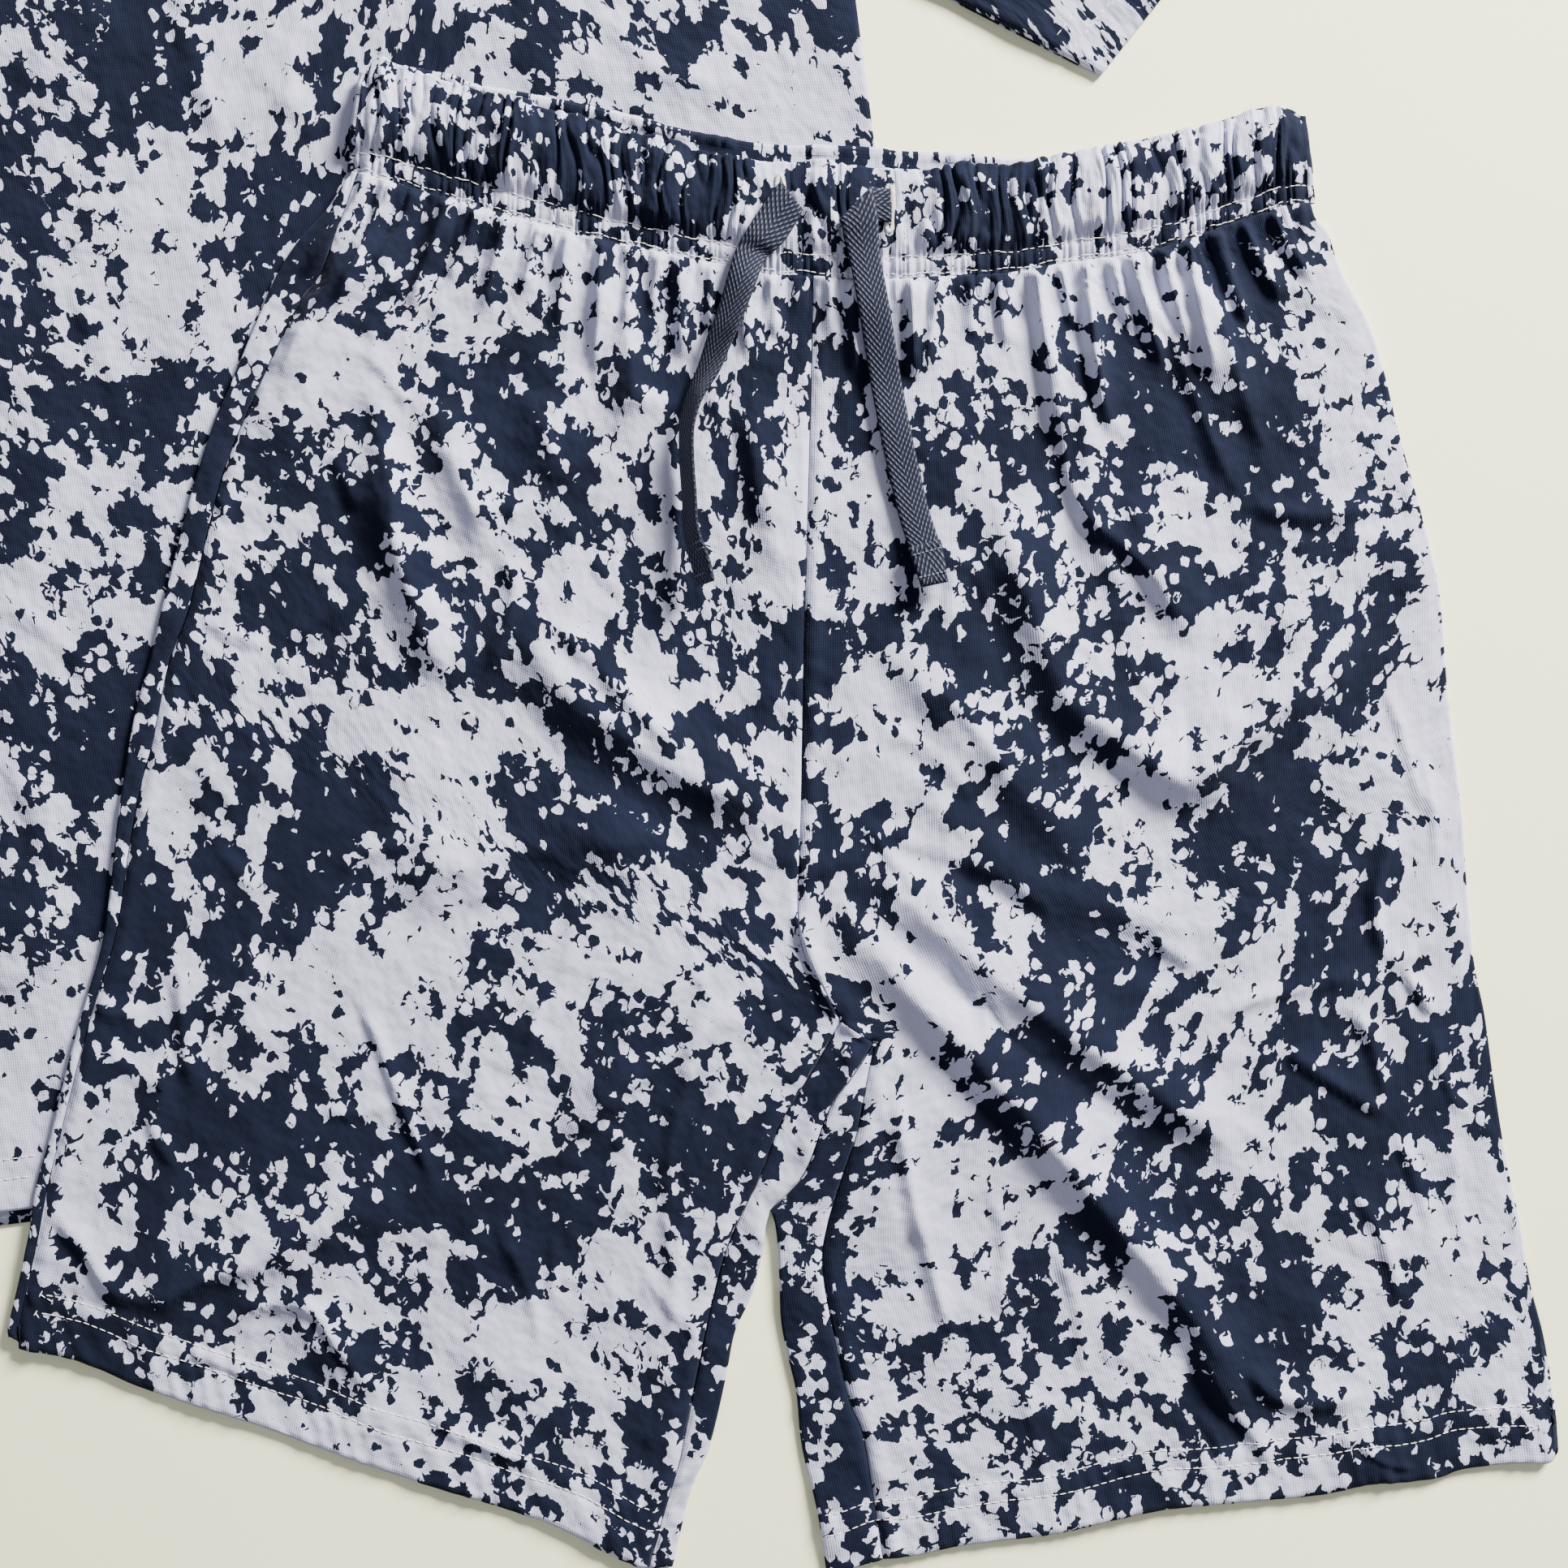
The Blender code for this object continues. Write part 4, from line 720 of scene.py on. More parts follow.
@dataclass(frozen=True)
class PrintedJersey:
    """Single jersey of cotton, reactive printed: a mottled two-colour print over fine wales."""

    name: str = "printed_single_jersey"
    ground: str = "#AAACC7"
    ink: str = "#0E1221"
    lustre: str = "#CCD5EE"  # dyed fibres throw back a faintly blue light along slopes
    blotch: float = 0.046
    cell: float = 0.0050
    crumb: float = 0.0022
    ragged: float = 0.0034
    edge: tuple[float, float] = (1.223, 1.229)  # score between ground and ink
    wale: float = 0.00080  # real wales are 0.5 mm apart, drawn coarser so that they show

    def material(self) -> bpy.types.Material:
        """Build the print, the wales and the soft unevenness of the yarn.

        Returns:
            The material.
        """
        lustre = linear(self.lustre)
        bench = Bench(self.name, self.ground, 0.92, Specular_IOR_Level=0.10, Specular_Tint=lustre,
                      Sheen_Weight=0.04, Sheen_Roughness=0.50, Sheen_Tint=lustre)
        flat = bench.cut()
        # blotches a little longer than wide; their ragged edges come from shaking the flat coordinates
        print_flat = bench.vectors("MULTIPLY", flat, (1.03, 0.96, 1.0))
        shake = bench.noise(print_flat, 1.0 / self.ragged, 1.0, "Color", noise_dimensions="2D")
        centred = bench.vectors("SUBTRACT", shake, (0.5, 0.5, 0.5))
        shaken = bench.vectors("MULTIPLY_ADD", centred, (self.crumb, self.crumb, 0.0), print_flat)
        cells, crumbs = bench.cells(shaken, self.cell, 0.95), bench.cells(shaken, self.crumb, 1.0)
        large = self._noise(bench, cells.outputs["Position"], self.blotch, 1.0)
        middle = self._noise(bench, shaken, 0.0118, 3.0)
        small = self._noise(bench, crumbs.outputs["Position"], 0.0075, 1.0)
        chance = add_node(bench.tree, "ShaderNodeSeparateColor", {}, {0: cells.outputs["Color"]}).outputs[0]
        # a round spot in the middle of some cells becomes an island or a hole
        odd = bench.calc("MULTIPLY_ADD", chance, 2.0, -1.25)
        spot = bench.ramp(cells.outputs["Distance"], 0.46, 0.32, interpolation_type="SMOOTHSTEP")
        island = bench.calc("MULTIPLY", odd, spot)
        score = large
        for part, weight in ((middle, 0.95), (small, 0.55), (odd, 0.012), (island, 0.20)):
            score = bench.calc("MULTIPLY_ADD", part, weight, score)
        inked = bench.ramp(score, *self.edge, interpolation_type="SMOOTHSTEP")
        # wales along the cut's length, and a slow change of shade as in washed cotton
        wales = bench.waves(flat, self.wale, 0.6, "X", (1.0, 0.4))
        courses = bench.waves(flat, 1.1 * self.wale, 1.4, "Y", (1.0, 0.5))
        knit = bench.calc("MULTIPLY_ADD", courses, 0.30, wales)
        shade = self._noise(bench, flat, 0.0350, 3.0)
        colour = bench.blend(inked, self._tone(bench, self.ground, knit, shade, 0.14),
                             self._tone(bench, self.ink, knit, shade, 0.55))
        soft = bench.bump(self._noise(bench, flat, 0.0110, 2.0), 0.70, 0.0019)
        return bench.finish(colour, bench.bump(knit, 0.30, 0.00025, Normal=soft))

    @staticmethod
    def _noise(bench: Bench, place: Socket, size: float, detail: float) -> Socket:
        """Noise of a size in metres at a place of the flat cut."""
        return bench.noise(place, 1.0 / size, detail, noise_dimensions="2D", Roughness=0.55)

    @staticmethod
    def _tone(bench: Bench, colour: str, knit: Socket, shade: Socket, depth: float) -> Socket:
        """A colour that the stitches and the wear make a little lighter and darker."""
        dark, light = (tuple(min(c * (1.0 + way * depth), 1.0) for c in linear(colour)[:3]) + (1.0,)
                       for way in (-1.0, 1.0))
        worn = bench.calc("MULTIPLY_ADD", shade, 0.8, bench.calc("MULTIPLY", knit, 0.45))
        return bench.blend(worn, dark, light)


@dataclass(frozen=True)
class RibJersey:
    """Fine 1x1 rib of cotton, piece dyed: even colour, upright ribs."""

    name: str = "neck_rib_1x1"
    colour: str = "#C9C9D6"
    # painted shade of the furrows between the ribs and painted light on their ridges; the yarn is one colour
    painted_furrow_shade: str = "#A9AABC"
    painted_ridge_light: str = "#D6D6E2"
    rib: float = 0.0018

    def material(self) -> bpy.types.Material:
        """Build the ribs, with painted shade in their furrows and painted light on their ridges."""
        bench = Bench(self.name, self.colour, 0.88, Specular_IOR_Level=0.18, Sheen_Weight=0.12)
        ribs = bench.waves(bench.cut(), self.rib, 0.5)
        # the ribs blend the painted furrow shade and the painted ridge light
        return bench.finish(bench.blend(ribs, linear(self.painted_furrow_shade), linear(self.painted_ridge_light)),
                            bench.bump(ribs, 0.5, 0.0004))


@dataclass(frozen=True)
class HerringboneTape:
    """Woven polyester-cotton tape, yarn dyed: two slanting twills that meet in the middle."""

    name: str = "herringbone_tape"
    yarn: str = "#0A0E1E"
    fleck: str = "#566080"
    twill: float = 0.0023
    end: float = 0.0009
    width: float = 0.010

    def material(self) -> bpy.types.Material:
        """Build the chevrons of the weave.

        Returns:
            The material.
        """
        bench = Bench(self.name, self.yarn, 0.80, Specular_IOR_Level=0.20, Sheen_Weight=0.03)
        flat = bench.cut()
        across, along, _ = add_node(bench.tree, "ShaderNodeSeparateXYZ", {}, {0: flat}).outputs
        half = bench.calc("PINGPONG", across, 0.5 * self.width)
        slant = bench.calc("MULTIPLY_ADD", half, -1.6, along)
        line = add_node(bench.tree, "ShaderNodeCombineXYZ", {}, {0: slant}).outputs[0]
        twill = bench.waves(line, self.twill, 0.0)
        broken = bench.calc("MULTIPLY_ADD", bench.waves(flat, self.end, 0.3), 0.45, 0.55)
        share = bench.ramp(bench.calc("MULTIPLY", twill, broken), 0.50, 0.90, **{"To Max": 0.84})
        return bench.finish(bench.blend(share, linear(self.yarn), linear(self.fleck)),
                            bench.bump(twill, 0.7, 0.0003))


@dataclass(frozen=True)
class SewingThread:
    """Spun polyester thread, twisted: a matt yarn with a faint twist."""

    name: str = "spun_polyester_thread"
    colour: str = "#E4E2E0"

    def material(self) -> bpy.types.Material:
        """Build the twist."""
        bench = Bench(self.name, self.colour, 0.65, Specular_IOR_Level=0.3)
        light = linear(self.colour)
        dark = tuple(0.86 * value for value in light[:3]) + (1.0,)
        return bench.finish(bench.blend(bench.noise(bench.place(), 900.0, 1.0), dark, light))


@dataclass(frozen=True)
class PaintedTable:
    """Table top painted in a warm white, satin: nearly even, with faint marks."""

    name: str = "painted_table_top"
    colour: str = "#E9E9DC"
    dull: str = "#EEF0CD"
    bright: str = "#F4F6D5"

    def material(self) -> bpy.types.Material:
        """Build the faint change of tone."""
        bench = Bench(self.name, self.colour, 0.55, Specular_IOR_Level=0.35)
        place = bench.place()
        colour = bench.blend(bench.noise(place, 5.0, 4.0), linear(self.dull), linear(self.bright))
        return bench.finish(colour, bench.bump(bench.noise(place, 260.0, 3.0), 0.10, 0.0002))


def set_out(name: str, data: Any) -> bpy.types.Object:
    """Put a new object into the scene."""
    thing = bpy.data.objects.new(name, data)
    bpy.context.scene.collection.objects.link(thing)
    return thing


def evaluated(piece: bpy.types.Object, name: str) -> bpy.types.Mesh:
    """Plain mesh of a piece with its modifiers applied."""
    bpy.context.view_layer.update()
    data = bpy.data.meshes.new_from_object(piece.evaluated_get(bpy.context.evaluated_depsgraph_get()))
    data.name = name
    return data


class Workroom:
    """Turns grids of points into finished pieces of cloth."""

    def __init__(self) -> None:
        """Make the finishes once."""
        self.jersey = PrintedJersey().material()
        self.rib = RibJersey().material()
        self.tape = HerringboneTape().material()
        self.thread = SewingThread().material()
        # dark sheet for the buttonhole slits: painted shade of their openings
        self.slit_shade = SewingThread("slit_painted_shade", "#2A3246").material()
        self.thread_slate = SewingThread("slate_polyester_thread", "#5C6479").material()

    @staticmethod
    def skin(rows: int, columns: int, start: int, flip: bool) -> Array:
        """Corner numbers of a grid's quads, which face up when rows run down and columns right.

        Args:
            rows: rows of points.
            columns: columns of points.
            start: number of the first point.
            flip: turn the faces over.

        Returns:
            Four corner numbers for each quad.
        """
        first = start + (np.arange(rows - 1)[:, None] * columns + np.arange(columns - 1)[None]).ravel()
        quads = np.column_stack([first, first + columns, first + columns + 1, first + 1])
        return quads[:, ::-1] if flip else quads

    def cloth(self, name: str, parts: Sequence[tuple[Array, Array, bool]], material: bpy.types.Material,
              wall: float = CLOTH_WALL, offset: float = -1.0) -> bpy.types.Object:
        """Make one piece of cloth from grids of plan points with heights.

        Args:
            name: name of the piece.
            parts: (points, flat coordinates, turned over) of each grid.
            material: finish.
            wall: thickness of the cloth.
            offset: side that the thickness grows to, -1 for inwards.

        Returns:
            The piece, at the origin, with its wall.
        """
        quads, start = [], 0
        for grid, _, flip in parts:
            quads.append(self.skin(*grid.shape[:2], start, flip))
            start += grid.shape[0] * grid.shape[1]
        place = np.vstack([grid.reshape(-1, 3) for grid, _, _ in parts]) + (*PLAN_SHIFT, 0.0)
        corners = np.vstack(quads)
        flat = np.vstack([cut.reshape(-1, 2) for _, cut, _ in parts])[corners.ravel()]
        data = bpy.data.meshes.new(name)
        data.vertices.add(len(place))
        data.vertices.foreach_set("co", place.astype(np.float32).ravel())
        data.loops.add(corners.size)
        data.loops.foreach_set("vertex_index", corners.astype(np.int32).ravel())
        data.polygons.add(len(corners))
        data.polygons.foreach_set("loop_start", np.arange(0, corners.size, 4, dtype=np.int32))
        data.uv_layers.new(name="cut").data.foreach_set("uv", flat.astype(np.float32).ravel())
        data.update(calc_edges=True)
        data.validate()
        data.polygons.foreach_set("use_smooth", np.ones(len(data.polygons), bool))
        data.materials.append(material)
        piece = set_out(name, data)
        if wall > 0.0:
            solid = piece.modifiers.new("wall", "SOLIDIFY")
            solid.thickness, solid.offset, solid.use_even_offset = wall, offset, False
            self.bake(piece)
            # at a sharp fold the wall can reach a little below the table
            heights = np.empty(len(piece.data.vertices) * 3, np.float32)
            piece.data.vertices.foreach_get("co", heights)
            heights[2::3] = np.maximum(heights[2::3], 0.0)
            piece.data.vertices.foreach_set("co", heights)
        return piece

    @staticmethod
    def bake(piece: bpy.types.Object) -> None:
        """Turn a piece's modifiers into plain mesh."""
        data = evaluated(piece, piece.name)
        piece.modifiers.clear()
        piece.data = data


@dataclass
class StitchRows:
    """Rows of stitches that follow lines over the cloth, made by one Geometry Nodes tree."""

    pitch: float = 0.0028
    length: float = 0.0025
    thickness: float = 0.00038
    tree: bpy.types.NodeTree | None = None
    inputs: dict[str, str] = field(default_factory=dict)

    def sizes(self) -> dict[str, float]:
        """Common sizes of a stitch, by the label of the tree's input."""
        return {"Pitch": self.pitch, "Length": self.length, "Thickness": self.thickness}

    def build_tree(self) -> bpy.types.NodeTree:
        """Build the tree: a row's line in, one rounded stitch at every pitch out.

        Returns:
            The tree.
        """
        tree = self.tree = bpy.data.node_groups.new("stitch_row", "GeometryNodeTree")
        face = tree.interface
        face.new_socket("Line", in_out="INPUT", socket_type="NodeSocketGeometry")
        for label, value in {**self.sizes(), "Turn": 0.0, "Thread": None}.items():
            kind = "NodeSocketMaterial" if value is None else "NodeSocketFloat"
            socket = face.new_socket(label, in_out="INPUT", socket_type=kind)
            socket.default_value = value
            self.inputs[label] = socket.identifier
        face.new_socket("Stitches", in_out="OUTPUT", socket_type="NodeSocketGeometry")
        given = add_node(tree, "NodeGroupInput").outputs

        def then(kind: str, links: dict[Any, Socket], settings: dict[str, Any] | None = None) -> Socket:
            """Add a node and give its first output."""
            return add_node(tree, kind, settings, links).outputs[0]

        line = then("GeometryNodeResampleCurve", {"Curve": given["Line"], "Length": given["Pitch"]},
                    {"mode": "LENGTH"})
        ball = then("GeometryNodeMeshUVSphere", {}, {"Segments": 6, "Rings": 4, "Radius": 0.5})
        thick = given["Thickness"]
        size = then("ShaderNodeCombineXYZ", {0: given["Length"], 1: thick, 2: thick})
        stitch = then("GeometryNodeTransform",
                      {"Geometry": then("GeometryNodeSetShadeSmooth", {0: ball}), "Scale": size})
        aim = then("FunctionNodeAlignRotationToVector", {"Vector": then("GeometryNodeInputTangent", {})},
                   {"axis": "X"})
        turn = then("FunctionNodeEulerToRotation", {0: then("ShaderNodeCombineXYZ", {2: given["Turn"]})})
        turned = then("FunctionNodeRotateRotation", {0: aim, 1: turn}, {"rotation_space": "LOCAL"})
        placed = then("GeometryNodeInstanceOnPoints",
                      {"Points": line, "Instance": stitch, "Rotation": turned})
        real = then("GeometryNodeRealizeInstances", {0: placed})
        dressed = then("GeometryNodeSetMaterial", {"Geometry": real, "Material": given["Thread"]})
        add_node(tree, "NodeGroupOutput", {}, {"Stitches": dressed})
        return tree

    def sew(self, name: str, lines: Sequence[Array], thread: bpy.types.Material, turn: Turn = Turn.ALONG,
            **sizes: float) -> bpy.types.Object:
        """Sew rows along lines.

        Args:
            name: name of the piece.
            lines: plan points with heights, one array for each row.
            thread: finish of the thread.
            turn: how each stitch lies.
            sizes: Pitch, Length and Thickness where they differ from the common ones.

        Returns:
            The stitches as one plain mesh.
        """
        tree = self.tree or self.build_tree()
        curve = bpy.data.curves.new(name + "_line", "CURVE")
        curve.dimensions = "3D"
        for line in lines:
            spline = curve.splines.new("POLY")
            spline.points.add(len(line) - 1)
            place = np.column_stack([np.asarray(line) + (*PLAN_SHIFT, 0.0), np.ones(len(line))])
            spline.points.foreach_set("co", place.ravel())
        guide = set_out(name + "_line", curve)
        rows = guide.modifiers.new("stitches", "NODES")
        rows.node_group = tree
        for label, value in {**self.sizes(), "Turn": turn.value, "Thread": thread, **sizes}.items():
            rows[self.inputs[label]] = value
        data = evaluated(guide, name)
        bpy.data.objects.remove(guide, do_unlink=True)
        if not data.materials:
            data.materials.append(thread)
        return set_out(name, data)


def hand_over(piece: bpy.types.Object, slot: str, *nodes: str) -> bpy.types.Object:
    """Let a piece ride on the set, and hide the solids that it replaces.

    Args:
        piece: finished piece.
        slot: not used.
        nodes: solids that the piece stands for.

    Returns:
        The same piece.
    """
    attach(piece, "root")
    if nodes:
        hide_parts(*nodes)
    LOG.info("%s: %d faces", piece.name, len(piece.data.polygons))
    return piece


@dataclass
class Studio:
    """Camera, lights and the table top."""

    height: float = 0.7156
    lens: float = 50.0
    table: float = 16.0
    room: tuple[str, float] = ("#F4F4F2", 0.34)

    def build(self) -> None:
        """Set up the camera straight above the middle of the view, the lights and the table."""
        middle = Vector((*PLAN_SHIFT, 0.0))
        camera = set_out("camera", bpy.data.cameras.new("camera"))
        camera.data.lens, camera.data.sensor_width = self.lens, 36.0
        camera.location = middle + Vector((0.0, 0.0, self.height))
        bpy.context.scene.camera = camera
        self._lamp("window", middle + Vector((1.50, 1.78, 1.16)), middle, 0.8, 415.0, "#FFFAEE")
        self._lamp("sky", middle + Vector((-0.7, -0.4, 1.7)), middle, 2.2, 7.0, "#F3F6FF")
        world = bpy.context.scene.world = bpy.data.worlds.new("room")
        world.use_nodes = True
        light = world.node_tree.nodes["Background"].inputs
        light["Color"].default_value, light["Strength"].default_value = linear(self.room[0]), self.room[1]
        half = 0.5 * self.table
        data = bpy.data.meshes.new("table_top")
        corners = ((-half, -half), (half, -half), (half, half), (-half, half))
        data.from_pydata([(x, y, -0.0002) for x, y in corners], [], [(0, 1, 2, 3)])
        data.materials.append(PaintedTable().material())
        set_out("table_top", data)

    @staticmethod
    def _lamp(name: str, place: Vector, aim: Vector, size: float, power: float, colour: str) -> None:
        """One square lamp that faces the set."""
        lamp = bpy.data.lights.new(name, "AREA")
        lamp.size, lamp.energy, lamp.color = size, power, linear(colour)[:3]
        holder = set_out(name, lamp)
        holder.location = place
        holder.rotation_euler = (aim - place).to_track_quat("-Z", "Y").to_euler()


class Layout:
    """Shared lines and heights of the set as it lies."""

    def __init__(self) -> None:
        """Work out the smooth lines once."""
        self.outer = {Side.LEFT: smooth_line(LEFT_OUTER), Side.RIGHT: smooth_line(RIGHT_OUTER)}
        self.inner = {Side.LEFT: smooth_line(LEFT_INNER), Side.RIGHT: smooth_line(RIGHT_INNER)}
        self.inseam = {Side.LEFT: smooth_line(LEFT_INSEAM), Side.RIGHT: smooth_line(RIGHT_INSEAM)}
        self.hem = {Side.LEFT: smooth_line(LEFT_HEM), Side.RIGHT: smooth_line(RIGHT_HEM)}
        self.band = {Side.LEFT: smooth_line(BAND_LOW_LEFT), Side.RIGHT: smooth_line(BAND_LOW_RIGHT)}
        self.band_low = smooth_line(np.vstack([BAND_LOW_LEFT, BAND_LOW_RIGHT[1:]]))
        self.outseam = smooth_line(LEFT_OUTSEAM)
        self.front_seam = smooth_line(FRONT_SEAM)
        self.bridge = smooth_line(BACK_SEAM_ON_TOP)
        self.back_seam = smooth_line(BACK_SEAM_UNDER)
        self.outline = np.vstack([BAND_BACK_TOP[::-1], LEFT_OUTER, LEFT_HEM[1:], LEFT_INNER[::-1],
                                  RIGHT_INNER, RIGHT_HEM[1:], RIGHT_OUTER[::-1]])

    def band_edge(self, x: Array) -> Array:
        """Low edge of the waistband at a plan x."""
        return np.interp(x, self.band_low[:, 0], self.band_low[:, 1])

    def to_outline(self, x: Array, y: Array) -> Array:
        """Distance to the outline of the shorts."""
        return nearest(x, y, np.vstack([self.outline, self.outline[:1]]))[0]

    @staticmethod
    def turned(x: Array, y: Array, angle: float) -> tuple[Array, Array]:
        """Plan coordinates turned about the origin."""
        cosine, sine = math.cos(angle), math.sin(angle)
        return x * cosine - y * sine, x * sine + y * cosine

    def to_top(self, x: Array, y: Array) -> tuple[Array, Array]:
        """From the layout frame to the top's own frame."""
        return self.turned(x - TOP_ORIGIN[0], y - TOP_ORIGIN[1], -TOP_TURN)

    def from_top(self, grid: Array) -> Array:
        """From the top's own frame to the layout frame."""
        return np.stack(self.turned(grid[..., 0], grid[..., 1], TOP_TURN), axis=-1) + TOP_ORIGIN

    def lift(self, x: Array, y: Array) -> Array:
        """Height of what the shorts rest on: the top under them, or the table."""
        across, up = self.to_top(x, y)
        outside = np.hypot(np.maximum(np.abs(across) - TOP_HALF_WIDTH, 0.0), np.maximum(-up, 0.0))
        return TOP_LIFT * (1.0 - ease(TOP_LIFT_MARGIN, TOP_LIFT_MARGIN + TOP_LIFT_FADE, outside))

    def resting(self, plan: Array) -> Array:
        """Plan points laid on what the shorts rest on."""
        return raised(plan, self.lift(plan[..., 0], plan[..., 1]))

    def clear(self, x: Array, y: Array) -> Array:
        """0 under and close to the shorts, 1 where the top lies free of them."""
        return np.where(inside(x, y, self.outline), 0.0, ease(0.003, 0.017, self.to_outline(x, y)))


@dataclass
class Shorts:
    """Legs of the shorts: two front panels on top, two back panels below that roll over the edges."""

    layout: Layout
    hem_turn: float = 0.0192
    hem_rise: float = 0.0004
    stitch_rows: tuple[float, float] = (0.0128, 0.0192)
    puff: float = 0.0015
    puff_reach: float = 0.012
    seam_dip: float = 0.0010
    seam_reach: float = 0.0011
    allowance: float = 0.00065
    fine_gathers: int = 118
    pucker: float = 0.0016
    pleat: float = 0.0012
    pleats: int = 64
    cut_waist: float = 0.212
    back_waist: float = 0.235

    def height(self, x: Array, y: Array) -> Array:
        """Upper face of the upper layer.

        Args:
            x: plan x of the points.
            y: plan y of the points.

        Returns:
            Height at each point.
        """
        lay = self.layout
        gap, share, _, _ = nearest(x, y, lay.band_low)
        # the waistband's puff, its puckers, the small pleats below it and the long gathers
        near = ease(0.0, 0.003, gap)
        turn = self.pleats * share + 0.7 * np.sin(29.0 * share) + 0.5 * np.sin(83.0 * share + 2.0)
        z = lay.lift(x, y) + LAYER_TOP + self.puff * bell(gap, self.puff_reach)
        z = z + self.pucker * self.puckers(share) * bell(gap, 0.009)
        z = z + self.pleat * near * (np.abs(np.sin(math.pi * turn)) - 0.6) * bell(gap, 0.017)
        z = z + near * (
            2.2 * fold_heights(x, y, [self._gather(row) for row in GATHERS], 1.5)
            + 1.15 * fold_heights(x, y, folds_of(FOLDS), 1.7)
            + 1.5 * fold_heights(x, y, folds_of(CREASES), 1.35)
            + fold_heights(x, y, crumples(110, (-0.250, -0.255), (0.245, 0.180), 31), 1.4)
            + slack(x, y, 0.040, 0.00056, 11) + slack(x, y, 0.018, 0.00016, 5))
        # the turned hem with its ripples, stitch rows and folded edge
        hem = self._nearer(x, y, lay.hem)
        z = z + self.hem_rise * (1.0 - ease(self.hem_turn - 0.0008, self.hem_turn + 0.0012, hem))
        ripples = np.sin(900.0 * (x + 0.35 * y) + 3.0 * np.sin(130.0 * x))
        z = z + 0.00022 * ripples * (1.0 - ease(0.020, 0.026, hem)) - 0.0007 * (1.0 - ease(0.0, 0.0016, hem))
        for place in self.stitch_rows:
            z = z - 0.00030 * bell(hem - place, 0.0011)
        # each seam's furrow, and its allowance on the side that it lies to
        for seam, lies in ((lay.front_seam, 1.0), (lay.outseam, 1.0), (lay.inseam[Side.LEFT], -1.0),
                           (lay.inseam[Side.RIGHT], 1.0), (lay.bridge, -1.0)):
            gap, _, off_x, _ = nearest(x, y, seam)
            z = z - self.seam_dip * bell(gap, self.seam_reach)
            z = z + self.allowance * bell(off_x * lies - 0.0036, 0.0024) * (gap < 0.012)
        z = z - 0.0007 * (1.0 - ease(0.0, 0.0060, self._nearer(x, y, lay.outer)))
        z = z - 0.0004 * (1.0 - ease(0.0, 0.0050, self._nearer(x, y, lay.inner)))
        # an eased floor keeps the cloth above the back panel without flat spots
        floor = lay.lift(x, y) + CLOTH_WALL + 0.0010
        return 0.5 * (z + floor + np.hypot(z - floor, 0.0006))

    def on_face(self, plan: Array) -> Array:
        """Plan points laid on the upper face."""
        return raised(plan, self.height(plan[..., 0], plan[..., 1]))

    @staticmethod
    def _nearer(x: Array, y: Array, lines: dict[Side, Array]) -> Array:
        """Distance to the nearer of a left and a right line."""
        return np.minimum(nearest(x, y, lines[Side.LEFT])[0], nearest(x, y, lines[Side.RIGHT])[0])

    def puckers(self, share: Array) -> Array:
        """Fine puckers that the elastic draws, by share along the waistband, about zero."""
        phase = (self.fine_gathers * share + 0.8 * np.sin(41.0 * share) + 0.6 * np.sin(97.0 * share + 1.0)
                 + 0.35 * np.sin(263.0 * share))
        size = 0.70 + 0.30 * np.sin(59.0 * share + 0.4)
        return size * (np.abs(np.sin(math.pi * phase)) ** 0.7 - 0.62)

    def _gather(self, row: Sequence[float]) -> tuple[Table, float, float]:
        """One gather that runs down from the waistband."""
        x, lean, length, width, height = MM * np.array(row)
        y = float(self.layout.band_edge(x))
        # the crest starts above the band's edge, so that it is at its full height below it
        return (((x - 0.25 * lean, y + 0.30 * length), (x, y), (x + 0.5 * lean, y - 0.55 * length),
                 (x + lean, y - length)), 0.9 * width, height)

    def downs(self) -> Array:
        """Shares of the rows, closer together at the waistband and in the hem."""
        return np.concatenate([
            np.linspace(0.0, 0.05, 24)[:-1], np.linspace(0.05, CROTCH_SHARE, 100)[:-1],
            np.linspace(CROTCH_SHARE, INNER_SHARE, 40)[:-1], np.linspace(INNER_SHARE, 0.945, 58)[:-1],
            np.linspace(0.945, 1.0, 28)])

    @staticmethod
    def acrosses(count: int, fine: float) -> Array:
        """Shares of the columns, closer together at both edges."""
        edge = fine * np.linspace(0.0, 1.0, 4) ** 1.3
        return np.concatenate([edge[:-1], np.linspace(fine, 1.0 - fine, count), 1.0 - edge[::-1][1:]])

    def seam_edge(self, inseam: Array, down: Array) -> Array:
        """Edge of a front panel along the centre seam and the inseam, one point for each row."""
        upper, end = down <= CROTCH_SHARE + 1e-9, self.layout.front_seam[-1:]
        first = at_shares(self.layout.front_seam, down[upper] / CROTCH_SHARE)
        line = np.vstack([end, inseam]) if math.dist(end[0], inseam[0]) > 1e-6 else inseam
        second = at_shares(line, (down[~upper] - CROTCH_SHARE) / (1.0 - CROTCH_SHARE))
        return np.vstack([first, second])

    @staticmethod
    def hem_part(hem: Array, start: Array, end: Array, shares: Array) -> Array:
        """Part of a hem between two points near it, at shares of that part."""
        first = nearest(start[:1], start[1:2], hem)[1][0]
        last = nearest(end[:1], end[1:2], hem)[1][0]
        part = at_shares(hem, first + (last - first) * shares)
        part[0], part[-1] = start, end
        return part

